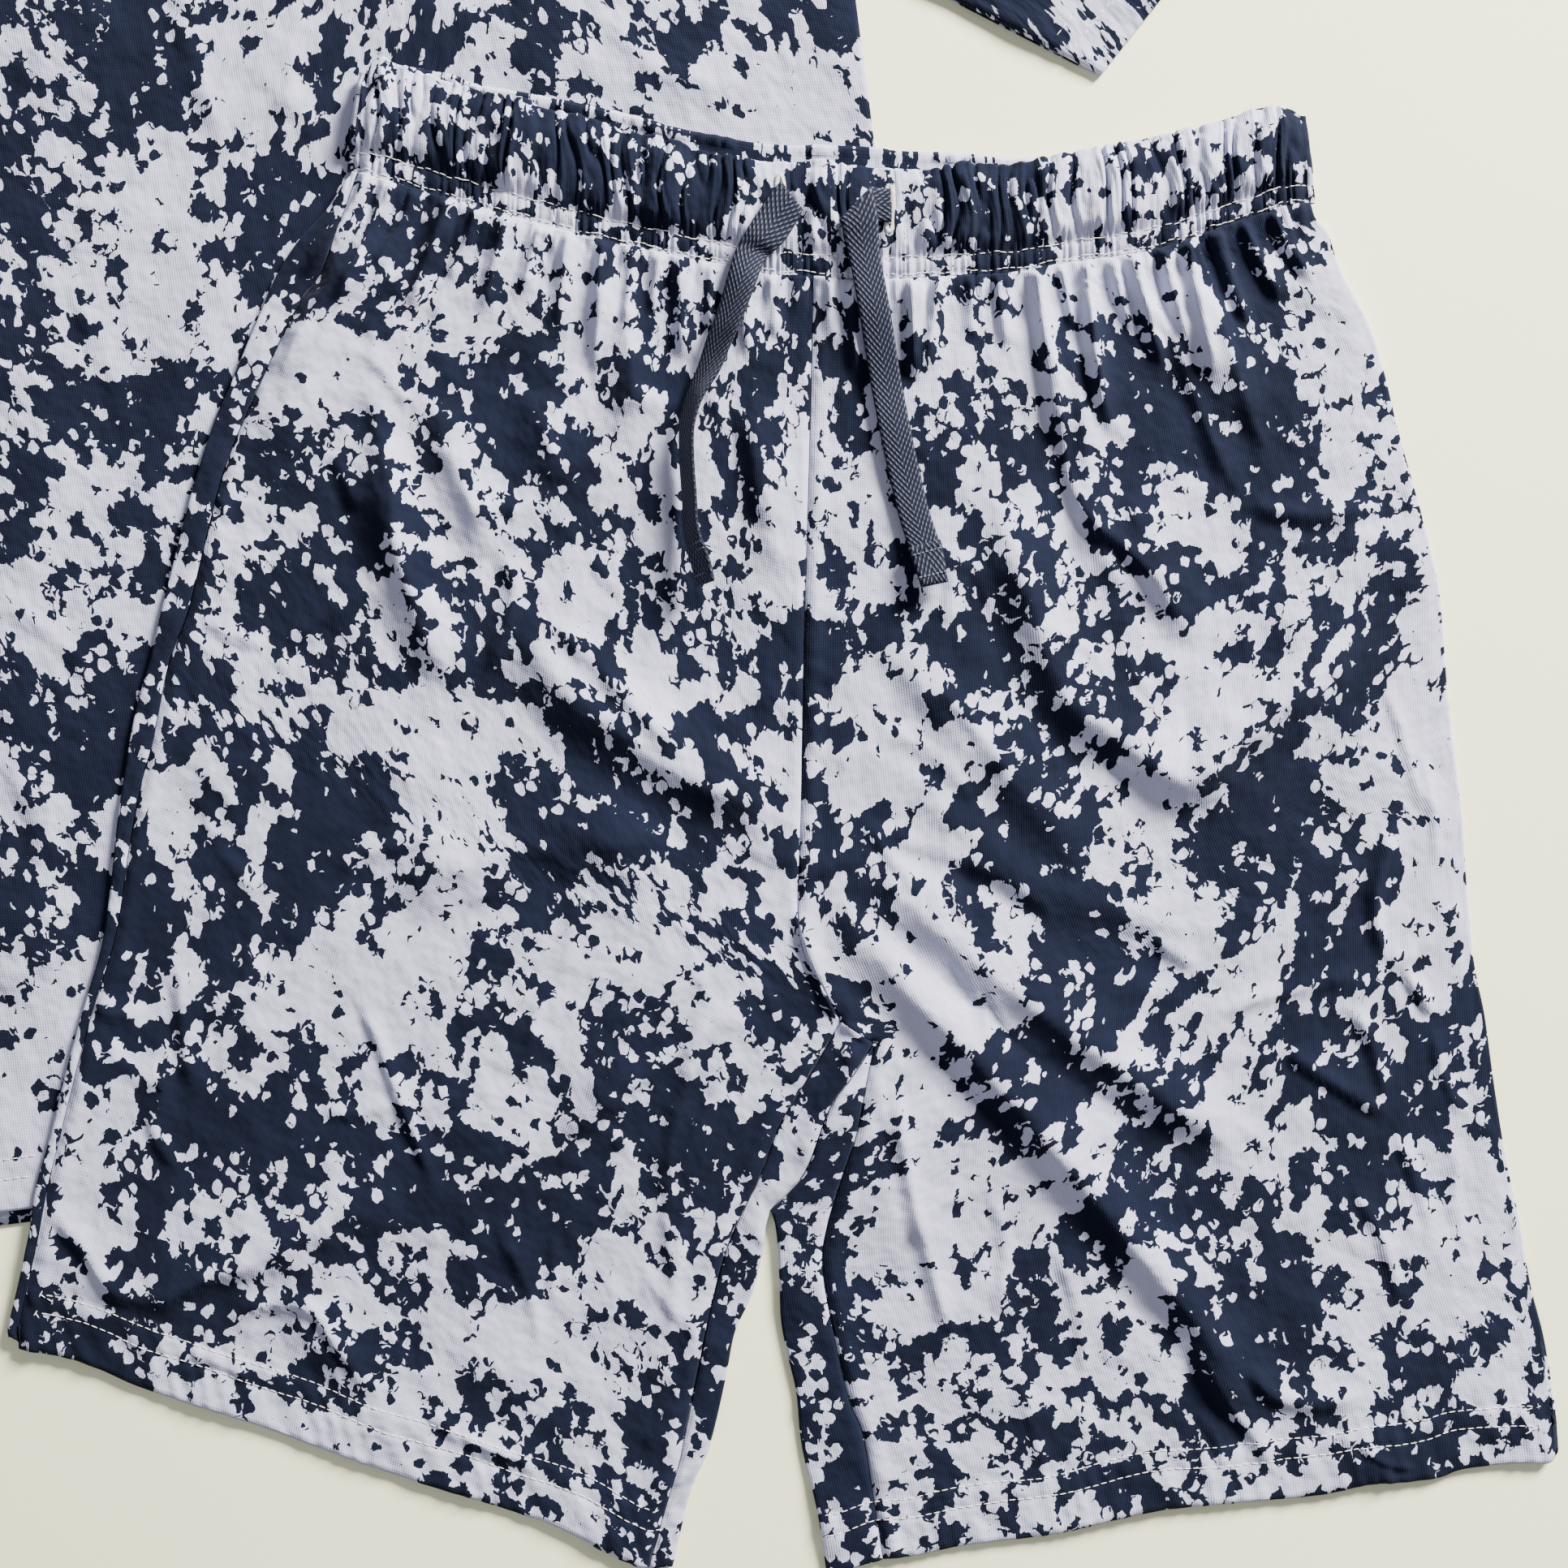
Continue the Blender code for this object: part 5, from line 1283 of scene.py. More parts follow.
    @staticmethod
    def nose(edge: Array, edge_in: Array, top: Array, low: Array, count: int = 5) -> Array:
        """Half round of a fold's nose, from the upper face to the lower one.

        Args:
            edge: outermost plan points, one for each row.
            edge_in: plan points where the nose starts.
            top: height of the upper face there.
            low: height of the lower face there.
            count: columns of the nose.

        Returns:
            Points, rows by columns by 3.
        """
        angles = np.linspace(0.5 * math.pi, -0.5 * math.pi, count + 2)[1:-1]
        reach = np.cos(angles)[None, :, None]
        plan = edge_in[:, None] + (edge - edge_in)[:, None] * reach
        middle, half = 0.5 * (top + low)[:, None], 0.5 * (top - low)[:, None]
        return raised(plan, middle + half * np.sin(angles)[None])

    def front(self, room: Workroom, side: Side) -> bpy.types.Object:
        """One front panel.

        Args:
            room: workroom that makes the piece.
            side: which leg.

        Returns:
            The panel.
        """
        lay, down, across = self.layout, self.downs(), self.acrosses(162, 0.014)
        seam = moved(self.seam_edge(lay.inseam[side], down), side.value * SEAM_GAP)
        if side is Side.LEFT:
            left, right = moved(at_shares(lay.outseam, down), SEAM_GAP), seam
            start = nearest(left[0, :1], left[0, 1:], lay.band[side])[1][0]
            top = at_shares(lay.band[side], start + (1.0 - start) * across)
            top[0] = left[0]
        else:
            outer = at_shares(lay.outer[side], down)
            left, right = seam, moved(outer, -NOSE_INSET)
            top = at_shares(lay.band[side], across)
        low = self.hem_part(lay.hem[side], left[-1], right[-1], across)
        points = self.on_face(span(left, right, top, low, down, across))
        if side is Side.RIGHT:
            under = lay.resting(right)
            nose = self.nose(outer, right, points[:, -1, 2], under[:, 2])
            points = np.concatenate([points, nose, under[:, None]], axis=1)
        flat = cut_lengths(points[..., :2], self.cut_waist) + PRINT_AT[f"front_{side.word}"]
        return room.cloth(f"shorts_front_{side.word}_panel", [(points, flat, False)], room.jersey)

    def back(self, room: Workroom, side: Side) -> bpy.types.Object:
        """One back panel, with the strips that roll over to the seams on top.

        Args:
            room: workroom that makes the piece.
            side: which leg.

        Returns:
            The panel.
        """
        lay, down, sign = self.layout, self.downs(), float(side.value)
        upper = down <= INNER_SHARE + 1e-9
        seam_part = at_shares(lay.back_seam, down[upper] / INNER_SHARE)
        inner = at_shares(lay.inner[side], (down[~upper] - INNER_SHARE) / (1.0 - INNER_SHARE))
        inner_in = moved(np.vstack([lay.inner[side][:1], inner]), sign * NOSE_INSET)[1:]
        middle = np.vstack([seam_part + (sign * SEAM_GAP, 0.0), inner_in])
        across = np.linspace(0.0, 1.0, 44)
        outer = at_shares(lay.outer[side], down)
        if side is Side.LEFT:
            outer_in = moved(outer, NOSE_INSET)
            top = at_shares(np.vstack([outer_in[:1], lay.band[side][12:]]), across)
            top[-1] = middle[0]
            low = self.hem_part(lay.hem[side], outer_in[-1], middle[-1], across)
            under = lay.resting(span(outer_in, middle, top, low, down, across))
            seam = moved(at_shares(lay.outseam, down), -SEAM_GAP)
            strip = self._strip(seam, outer_in, 9)
            nose = self.nose(outer, outer_in, strip[:, -1, 2], lay.resting(outer_in)[:, 2])
            under = np.concatenate([strip, nose, under], axis=1)
        else:
            outer_in = moved(outer, -NOSE_INSET - 2 * SEAM_GAP)
            top = at_shares(lay.band[side], across)
            top[0] = middle[0]
            low = self.hem_part(lay.hem[side], middle[-1], outer_in[-1], across)
            under = lay.resting(span(middle, outer_in, top, low, down, across))
        flat = cut_lengths(under[..., :2], self.back_waist) * (sign, 1.0) + PRINT_AT[f"back_{side.word}"]
        tongue = self._tongue(down, sign, inner, inner_in, lay.inseam[side])
        return room.cloth(f"shorts_back_{side.word}_panel", [(under, flat, True), tongue], room.jersey)

    def _strip(self, first: Array, last: Array, count: int) -> Array:
        """Strip of the upper face between two edges, as rows by columns by 3."""
        share = np.linspace(0.0, 1.0, count)[None, :, None]
        return self.on_face((1 - share) * first[:, None] + share * last[:, None])

    def _tongue(self, down: Array, sign: float, inner: Array, inner_in: Array, inseam: Array
                ) -> tuple[Array, Array, bool]:
        """Inner strip of a back panel that shows on top, from its roll to the inseam.

        Args:
            down: shares of the panel's rows.
            sign: -1 for the left leg, 1 for the right one.
            inner: outermost points of the roll.
            inner_in: points where the roll starts.
            inseam: line of the inseam.

        Returns:
            Points, flat coordinates, and whether the faces are turned over.
        """
        rows = down[down >= CROTCH_SHARE - 1e-9]
        on_bridge = rows[rows <= INNER_SHARE + 1e-9]
        bridge = at_shares(self.layout.bridge, (on_bridge - CROTCH_SHARE) / (INNER_SHARE - CROTCH_SHARE))
        bridge = moved(bridge, 2.0 * sign * SEAM_GAP)
        edge = np.vstack([bridge, inner_in])
        seam = moved(at_shares(inseam, (rows - CROTCH_SHARE) / (1.0 - CROTCH_SHARE)), -sign * SEAM_GAP)
        strip = self._strip(edge, seam, 14)
        top_here = strip[:, 0, 2]
        fade = ease(0.0, 1.0, (rows - INNER_SHARE) / 0.02)
        low_here = self.layout.resting(edge)[:, 2] * fade + (top_here - 0.0010) * (1.0 - fade)
        nose = self.nose(np.vstack([bridge, inner]), edge, top_here, low_here)[:, ::-1]
        full = np.concatenate([raised(edge, low_here)[:, None], nose, strip], axis=1)
        flat = cut_lengths(full[..., :2], 0.0) + PRINT_AT["tongue"] + np.array((0.7 * sign, 0.0))
        return full, flat, sign < 0

    def hem_lines(self, side: Side) -> list[Array]:
        """Twin-needle rows of one hem, on the upper face.

        Args:
            side: which leg.

        Returns:
            Two lines of points.
        """
        lines = []
        run = np.linspace(0.0, 1.0, 170)
        for index, distance in enumerate(self.stitch_rows):
            # the needle drifts a little, and the rows stop at the fold's nose
            row = moved(at_shares(self.layout.hem[side], np.linspace(0.012, 0.988, len(run))), distance)
            row = row + np.column_stack([0 * run, 0.00035 * np.sin(31.0 * run + index)])
            x, y = row.T
            row = row[inside(x, y, self.layout.outline) & (self.layout.to_outline(x, y) > 0.0012)]
            lines.append(self.on_face(row) + (0.0, 0.0, STITCH_LIFT))
        return lines


@dataclass
class Waistband:
    """Casing over elastic: gathered between the upper stitch row and the top edge, puckered below."""

    layout: Layout
    shorts: Shorts
    gathers: int = 40
    depth: float = 0.0040
    upper_row: float = 0.185
    lower_row: float = 0.030
    columns: int = 700
    back_columns: int = 360

    def __post_init__(self) -> None:
        """Sample the band's edges."""
        share = np.linspace(0, 1, 400)
        self.low_line = moved(self.layout.band_low, SEAM_GAP)
        self.front_low = at_shares(self.low_line, share)
        self.front_top = at_shares(smooth_line(BAND_FRONT_TOP), share)
        self.back_top = at_shares(smooth_line(BAND_BACK_TOP), share)

    def wave(self, share: Array, up: Array) -> Array:
        """Gathers and puckers of the casing.

        Args:
            share: share along the band.
            up: share of the band's width, 0 at the low edge.

        Returns:
            Height of the wave.
        """
        lean = 0.55 * (up - 0.6) * np.sin(23.0 * share + 2.0) + 0.2 * np.sin(7.0 * up + 31.0 * share)
        phase = (self.gathers * share + 0.42 * np.sin(47.0 * share) + 0.30 * np.sin(109.0 * share + 1.0)
                 + 0.16 * np.sin(233.0 * share) + lean)
        step = phase - np.floor(phase)
        crest = 2.1 * step ** 0.5 * (1.0 - step) ** 0.75
        size = 0.68 + 0.32 * np.sin(61.0 * share + 0.7) * np.cos(19.0 * share)
        second = np.abs(np.sin(math.pi * (2.1 * phase + 1.7 * up))) * 0.22
        holes = np.minimum.reduce([np.abs(self.place(share, up)[..., 0] - x) for x, _ in BUTTONHOLES])
        calm = 0.30 + 0.70 * ease(0.006, 0.012, holes)
        body = ease(self.upper_row, self.upper_row + 0.16, up) * (1.0 - 0.45 * ease(0.86, 1.0, up))
        drawn = ease(0.0, 0.13, up) * (1.0 - ease(self.upper_row, self.upper_row + 0.25, up))
        return (self.depth * body * size * calm * (crest + second)
                + self.shorts.pucker * drawn * self.shorts.puckers(share))

    def place(self, share: Array, up: Array) -> Array:
        """Plan point at a share along the band and a share of its width."""
        low = between(self.front_low, share)
        return low + (between(self.front_top, share) - low) * np.asarray(up)[..., None]

    def upper_face(self, share: Array, up: Array) -> Array:
        """Points of the upper face with their heights.

        Args:
            share: share along the band.
            up: share of the band's width.

        Returns:
            The points.
        """
        plan = self.place(share, up)
        x, y = plan[..., 0], plan[..., 1]
        low = self.place(share, np.zeros(np.shape(up)))
        # all rows of a grid share the low edge of its first one
        low = low if np.ndim(share) < 2 else low[:1]
        lap = np.broadcast_to(self.shorts.height(low[..., 0], low[..., 1]), np.shape(x))
        body = self.layout.lift(x, y) + BAND_TOP - 0.0002
        rise = ease(0.0, 0.13, up)
        z = lap * (1.0 - rise) + body * rise + self.wave(share, up)
        for row in (self.lower_row, self.upper_row):
            z = z - 0.00030 * bell((up - row) * BAND_WIDTH, 0.0009)
        puff = 0.0012 * ease(self.upper_row, 0.55, up) * (1.0 - ease(0.75, 1.0, up))
        ends = 1.0 - ease(0.0, 0.022, share) * ease(0.0, 0.022, 1.0 - share)
        return raised(plan, z + puff - 0.0014 * ends)

    def face_at(self, x: Array, y: Array) -> Array:
        """Height of the upper face at plan points, found in a few steps."""
        share, up = np.full(np.shape(x), 0.5), np.full(np.shape(x), 0.5)
        for _ in range(8):
            here = self.place(share, up)
            share = np.clip(share + (x - here[..., 0]) / BAND_LENGTH, 0.0, 1.0)
            up = np.clip(up + (y - here[..., 1]) / BAND_WIDTH, 0.0, 1.0)
        return self.upper_face(share, up)[..., 2]

    def build(self, room: Workroom) -> bpy.types.Object:
        """The band as one closed ring.

        Args:
            room: workroom that makes the piece.

        Returns:
            The band.
        """
        ups = np.concatenate([np.linspace(0.0, 0.22, 14), np.linspace(0.22, 0.965, 19)[1:]])
        inset = 0.0015
        share = inset + np.linspace(0.0, 1.0, self.columns) * (1.0 - 2.0 * inset)
        outer = self.upper_face(*np.broadcast_arrays(share[None, :], ups[:, None]))
        top, floor = outer[..., 2], self.layout.lift(outer[..., 0], outer[..., 1])
        under = np.minimum(np.maximum(top - BAND_WALL, floor + BAND_WALL + 0.0003), top - 0.0006)
        # the top edge bulges over each gather
        rim = self.wave(share, np.full(self.columns, 0.9))
        top_up = 1.0 + 0.50 * (rim - 0.0008) / BAND_WIDTH
        middle, half = 0.5 * (top[-1] + under[-1]), 0.5 * (top[-1] - under[-1])
        bead = [raised(self.place(share, ups[-1] + (top_up - ups[-1]) * math.cos(angle)),
                       middle + half * math.sin(angle)) for angle in self.half_turn()]
        loop = np.concatenate([outer, np.stack(bead), raised(outer[..., :2], under)[::-1]], axis=0)
        cut = np.concatenate([ups, 1.0 + np.linspace(0.01, 0.05, 5), 2.0 - ups[::-1]]) * BAND_CUT[1]
        back_share = inset + np.linspace(1.0, 0.0, self.back_columns) * (1.0 - 2.0 * inset)
        back = self._back(back_share, ups)
        # the print of the front panels runs on over the stitch rows, and changes at the middle
        quarter = 0.25 * BAND_CUT[0]
        parts = []
        for part, name, start in ((slice(0, self.columns // 2 + 1), "front_left", quarter),
                                  (slice(self.columns // 2, None), "front_right", 3.0 * quarter)):
            flat = flat_grid(share[part] * BAND_CUT[0] - start, cut) + PRINT_AT[name]
            parts.append((loop[::-1, part], flat[::-1], False))
        flat = flat_grid(back_share * BAND_CUT[0], cut) + PRINT_AT["band_back"]
        parts.append((back[::-1], flat[::-1], False))
        for low, end_front, end_back in ((0.0, 0, -1), (1.0, -1, 0)):
            nose = self._end(loop[:, end_front], back[:, end_back], low)
            order = nose if low else nose[:, ::-1]
            flat = flat_grid(np.linspace(0, 0.006, nose.shape[1]) + 0.4 * low, cut) + PRINT_AT["band_ends"]
            parts.append((order[::-1], flat[::-1], False))
        return weld(room.cloth("waistband_casing", parts, room.jersey, wall=0.0))

    @staticmethod
    def half_turn() -> Array:
        """Angles of a rounded edge between its two faces, from the upper one down."""
        return np.linspace(0.5 * math.pi, -0.5 * math.pi, 7)[1:-1]

    def _back(self, share: Array, ups: Array) -> Array:
        """Back half of the ring: its outside lies on what is below, its inside faces up.

        Args:
            share: shares along the band.
            ups: shares of the band's width.

        Returns:
            Points, rows by columns by 3.
        """
        low = at_shares(self.low_line, share)
        wide = between(self.back_top, share) - low
        ripple = self.wave(share * 0.93 + 0.04, np.full(len(share), 0.6)) * 0.30
        rows = [self.layout.resting(low + wide * up) for up in ups]
        for angle in self.half_turn()[::-1]:
            plan = low + wide * (ups[-1] + (1.0 - ups[-1]) * math.cos(angle))
            plan = plan + np.column_stack([0 * share, 0.6 * ripple * math.cos(angle)])
            rows.append(self.layout.resting(plan) + (0.0, 0.0, 0.5 * BAND_WALL * (1.0 + math.sin(angle))))
        for up in ups[::-1]:
            inside_face = self.layout.resting(low + wide * up)
            inside_face[:, 2] += BAND_WALL + ripple * ease(0.93, 0.97, up) * 2.0
            rows.append(inside_face)
        return np.stack(rows)

    @staticmethod
    def _end(front: Array, back: Array, side: float) -> Array:
        """Fold at one end of the ring, from its front loop to its back loop.

        Args:
            front: end points of the front.
            back: end points of the back.
            side: 0 at the left end, 1 at the right one.

        Returns:
            Points, rows by columns by 3.
        """
        reach = np.where(np.arange(len(front)) < len(front) // 2, 0.0024, 0.0003) * (2.0 * side - 1.0)
        out = np.column_stack([reach, 0 * reach, 0 * reach])
        columns = []
        for angle in np.linspace(0.0, math.pi, 7):
            mix = 0.5 * (1.0 - math.cos(angle))
            columns.append(front * (1.0 - mix) + back * mix + out * math.sin(angle))
        return np.stack(columns, axis=1)

    def stitch_lines(self) -> list[Array]:
        """The two stitch rows along the band's low edge.

        Returns:
            Points of each row.
        """
        share = np.linspace(0.006, 0.994, 900)
        lines = []
        for index, row in enumerate((self.lower_row, self.upper_row)):
            up = row + 0.008 * np.sin(150.0 * share + 2.0 * index) + 0.005 * np.sin(417.0 * share)
            points = self.upper_face(share, up)
            points[:, 2] += 0.00022
            lines.append(points)
        return lines


@dataclass
class Buttonhole:
    """Worked eyelet of satin stitches round an upright slit."""

    band: Waistband
    name: str
    place: tuple[float, float]
    length: float = 0.0165
    width: float = 0.0042
    bar: float = 0.0017

    def _height(self, x: Array, y: Array) -> Array:
        """Upper face of the band under the eyelet."""
        return self.band.face_at(x, y) + 0.0002

    def build(self, room: Workroom, rows: StitchRows) -> list[bpy.types.Object]:
        """The ring of stitches and, inside it, the slit's cloth as a dark sheet of painted shade.

        Args:
            room: workroom that makes the slit's cloth.
            rows: sewer of the stitches.

        Returns:
            The stitches and the slit's lips.
        """
        angle = np.linspace(0.0, 2.0 * math.pi, 90)
        half_w, half_l = 0.5 * (self.width - self.bar), 0.5 * (self.length - self.bar)
        x = self.place[0] + half_w * np.sign(np.cos(angle)) * np.abs(np.cos(angle)) ** 0.6
        y = self.place[1] + half_l * np.sin(angle)
        ring = raised(np.column_stack([x, y]), self._height(x, y))
        satin = rows.sew(self.name + "_satin", [ring], room.thread, Turn.ACROSS,
                         Pitch=0.00042, Length=self.bar, Thickness=0.00050)
        share = np.linspace(0.0, 1.0, 24)
        reach = 0.0013 * np.sqrt(np.maximum(1.0 - (2.0 * share - 1.0) ** 2, 0.0))
        y = self.place[1] + (0.5 - share) * (self.length - 1.2 * self.bar)
        lips = []
        for out in np.linspace(-1.0, 1.0, 9):
            x = self.place[0] + out * (reach + 1e-5)
            dip = 0.00025 + 0.0009 * bell(out, 0.35)
            lips.append(raised(np.column_stack([x, y]), self._height(x, y) - dip))
        grid = np.stack(lips, axis=1)
        # the slit's lips are a dark sheet sunk in the slit: painted shade of its opening
        slit = room.cloth(self.name + "_lips", [(grid, grid[..., :2] + PRINT_AT["lips"], False)],
                          room.slit_shade, wall=0.0003)
        return [satin, slit]


@dataclass
class Drawcord:
    """One free end of a flat tape: out of its eyelet, over one slanting fold, then down the cloth."""

    shorts: Shorts
    band: Waistband
    side: Side
    width: float = 0.010
    thickness: float = 0.0010
    end_fold: float = 0.0125
    end_lift: float = 0.0022
    end_rows: tuple[float, float] = (0.0022, 0.0100)
    columns: int = 9

    def __post_init__(self) -> None:
        """Lay the tape's cross lines: their centres, half widths, lengths run, tilts and heights."""
        rows = smooth_line(self.stations(), 5)
        self.centre, self.half, self.tilt = MM * rows[:, :2], MM * rows[:, 2:4], np.radians(rows[:, 5])
        self.run = run_lengths(self.centre)
        layer = np.clip(rows[:, 4], 0.0, 1.0)
        lifted = self._floor() + 0.0003 + 0.5 * self.thickness + layer * (self.thickness + 0.0002)
        self.lifted = lifted + self.end_lift * ease(self.run[-1] - 0.022, self.run[-1], self.run)
        rise = 0.5 * self.width * np.sin(self.tilt)
        self.path = np.column_stack([self.centre + PLAN_SHIFT, self.lifted + rise])

    def stations(self) -> Array:
        """Cross lines of the tape, in millimetres.

        Returns:
            Rows of centre x and y, half width x and y, layer, and tilt in degrees.
        """
        head, tail, sign = ((HEAD_RIGHT, TAPE_RIGHT, -1.0) if self.side is Side.RIGHT
                            else (HEAD_LEFT, TAPE_LEFT, 1.0))
        rows = [(*row, 0.0) for row in head]
        for (x, y, tilt), normal in zip(tail, left_normals(np.array(tail)[:, :2])):
            reach = 500.0 * self.width * math.cos(math.radians(tilt)) * sign
            rows.append((x, y, *(normal * reach), 1.0, tilt))
        return np.array(rows)

    def build(self, room: Workroom) -> bpy.types.Object:
        """The tape as a ribbon with its folded end.

        Args:
            room: workroom that makes the piece.

        Returns:
            The tape.
        """
        run = self.run
        along = np.gradient(self.centre, axis=0)
        along /= np.linalg.norm(along, axis=1, keepdims=True)
        narrow = 1.0 - 0.10 * ease(run[-1] - 0.006, run[-1], run)[:, None]
        points, flats = [], []
        for share in np.linspace(-1.0, 1.0, self.columns):
            rise = 0.5 * self.width * np.sin(self.tilt) * (1.0 + share)
            wavy = 0.00025 * np.sin(run * 190.0) * share + 0.0002 * (1.0 - share ** 2)
            points.append(raised(self.centre + self.half * share * narrow, self.lifted + rise + wavy))
            # a slanting cross line still lies square on the weave, so its points are at other lengths
            flats.append(np.column_stack([np.full(len(run), (share + 1.0) * 0.5 * self.width),
                                          run + share * np.sum(self.half * along, axis=1)]))
        grid, flat = np.stack(points, axis=1), np.stack(flats, axis=1)
        flap = self._end_flap(grid)
        flap_flat = flat_grid(flat[0, :, 0], run[-1] + np.linspace(0.0, self.end_fold, len(flap)))
        parts = [(np.concatenate([grid, flap]), np.concatenate([flat, flap_flat]), False)]
        return room.cloth(f"drawcord_{self.side.word}_tape", parts, room.tape, self.thickness, 0.0)

    def _end_flap(self, grid: Array) -> Array:
        """The end turned back under itself, round a small roll.

        Args:
            grid: points of the tape up to its end.

        Returns:
            Points of the flap, rows by columns by 3.
        """
        back, run = [], self.run
        step = 0.5 * self.thickness + 0.0001
        direction = grid[-1] - grid[-2]
        direction /= np.maximum(np.linalg.norm(direction, axis=1, keepdims=True), 1e-9)
        for turn in math.pi * np.array((0.25, 0.5, 0.75)):
            back.append(grid[-1] + direction * step * math.sin(turn))
            back[-1][:, 2] += step * (1.0 - math.cos(turn))
        for distance in np.linspace(0.0, self.end_fold, 15):
            line = np.stack([[np.interp(run[-1] - distance, run, column[:, k]) for k in range(3)]
                             for column in grid.transpose(1, 0, 2)])
            middle = line.mean(axis=0)
            wide = 0.97 + 0.11 * ease(0.3, 1.0, distance / self.end_fold)
            line[:, :2] = middle[:2] + (line[:, :2] - middle[:2]) * wide
            line[:, 2] += 2.0 * step + 0.0001 + 0.0006 * bell(distance - self.end_fold + 0.0012, 0.0010)
            back.append(line)
        return np.stack(back)

    def _floor(self) -> Array:
        """Highest face under each cross line, eased along the tape."""
        probes = [self._face(*(self.centre + self.half * share).T) for share in (-1.0, -0.5, 0.0, 0.5, 1.0)]
        floor = np.max(probes, axis=0)
        high = np.array([floor[max(i - 2, 0): i + 3].max() for i in range(len(floor))])
        return np.array([high[max(i - 2, 0): i + 3].mean() for i in range(len(high))])

    def _face(self, x: Array, y: Array) -> Array:
        """Upper face of the band or of the front panel at plan points."""
        front, band = self.shorts.height(x, y), self.band.face_at(x, y)
        return np.where(y > self.shorts.layout.band_edge(x) - 0.001, np.maximum(band, front), front)

    def end_stitches(self) -> list[Array]:
        """Rows across the folded end.

        Returns:
            Points of each row.
        """
        lines = []
        share = np.linspace(-0.82, 0.82, 9)
        half_tilt = 0.5 * self.width * np.sin(self.tilt)
        known = np.column_stack([self.centre, self.half, self.lifted, half_tilt])
        for back in self.end_rows:
            x, y, reach_x, reach_y, z, rise = (np.interp(self.run[-1] - back, self.run, column)
                                               for column in known.T)
            plan = np.column_stack([x + reach_x * share, y + reach_y * share])
            lines.append(raised(plan, z + 1.5 * self.thickness + 0.0005 + rise * (1.0 + share)))
        return lines


def weld(piece: bpy.types.Object) -> bpy.types.Object:
    """Join points that lie on each other and keep the flat coordinates.

    Args:
        piece: mesh with open joins.

    Returns:
        The same piece.
    """
    joined = piece.modifiers.new("weld", "WELD")
    joined.merge_threshold = 0.00002
    Workroom.bake(piece)
    return piece


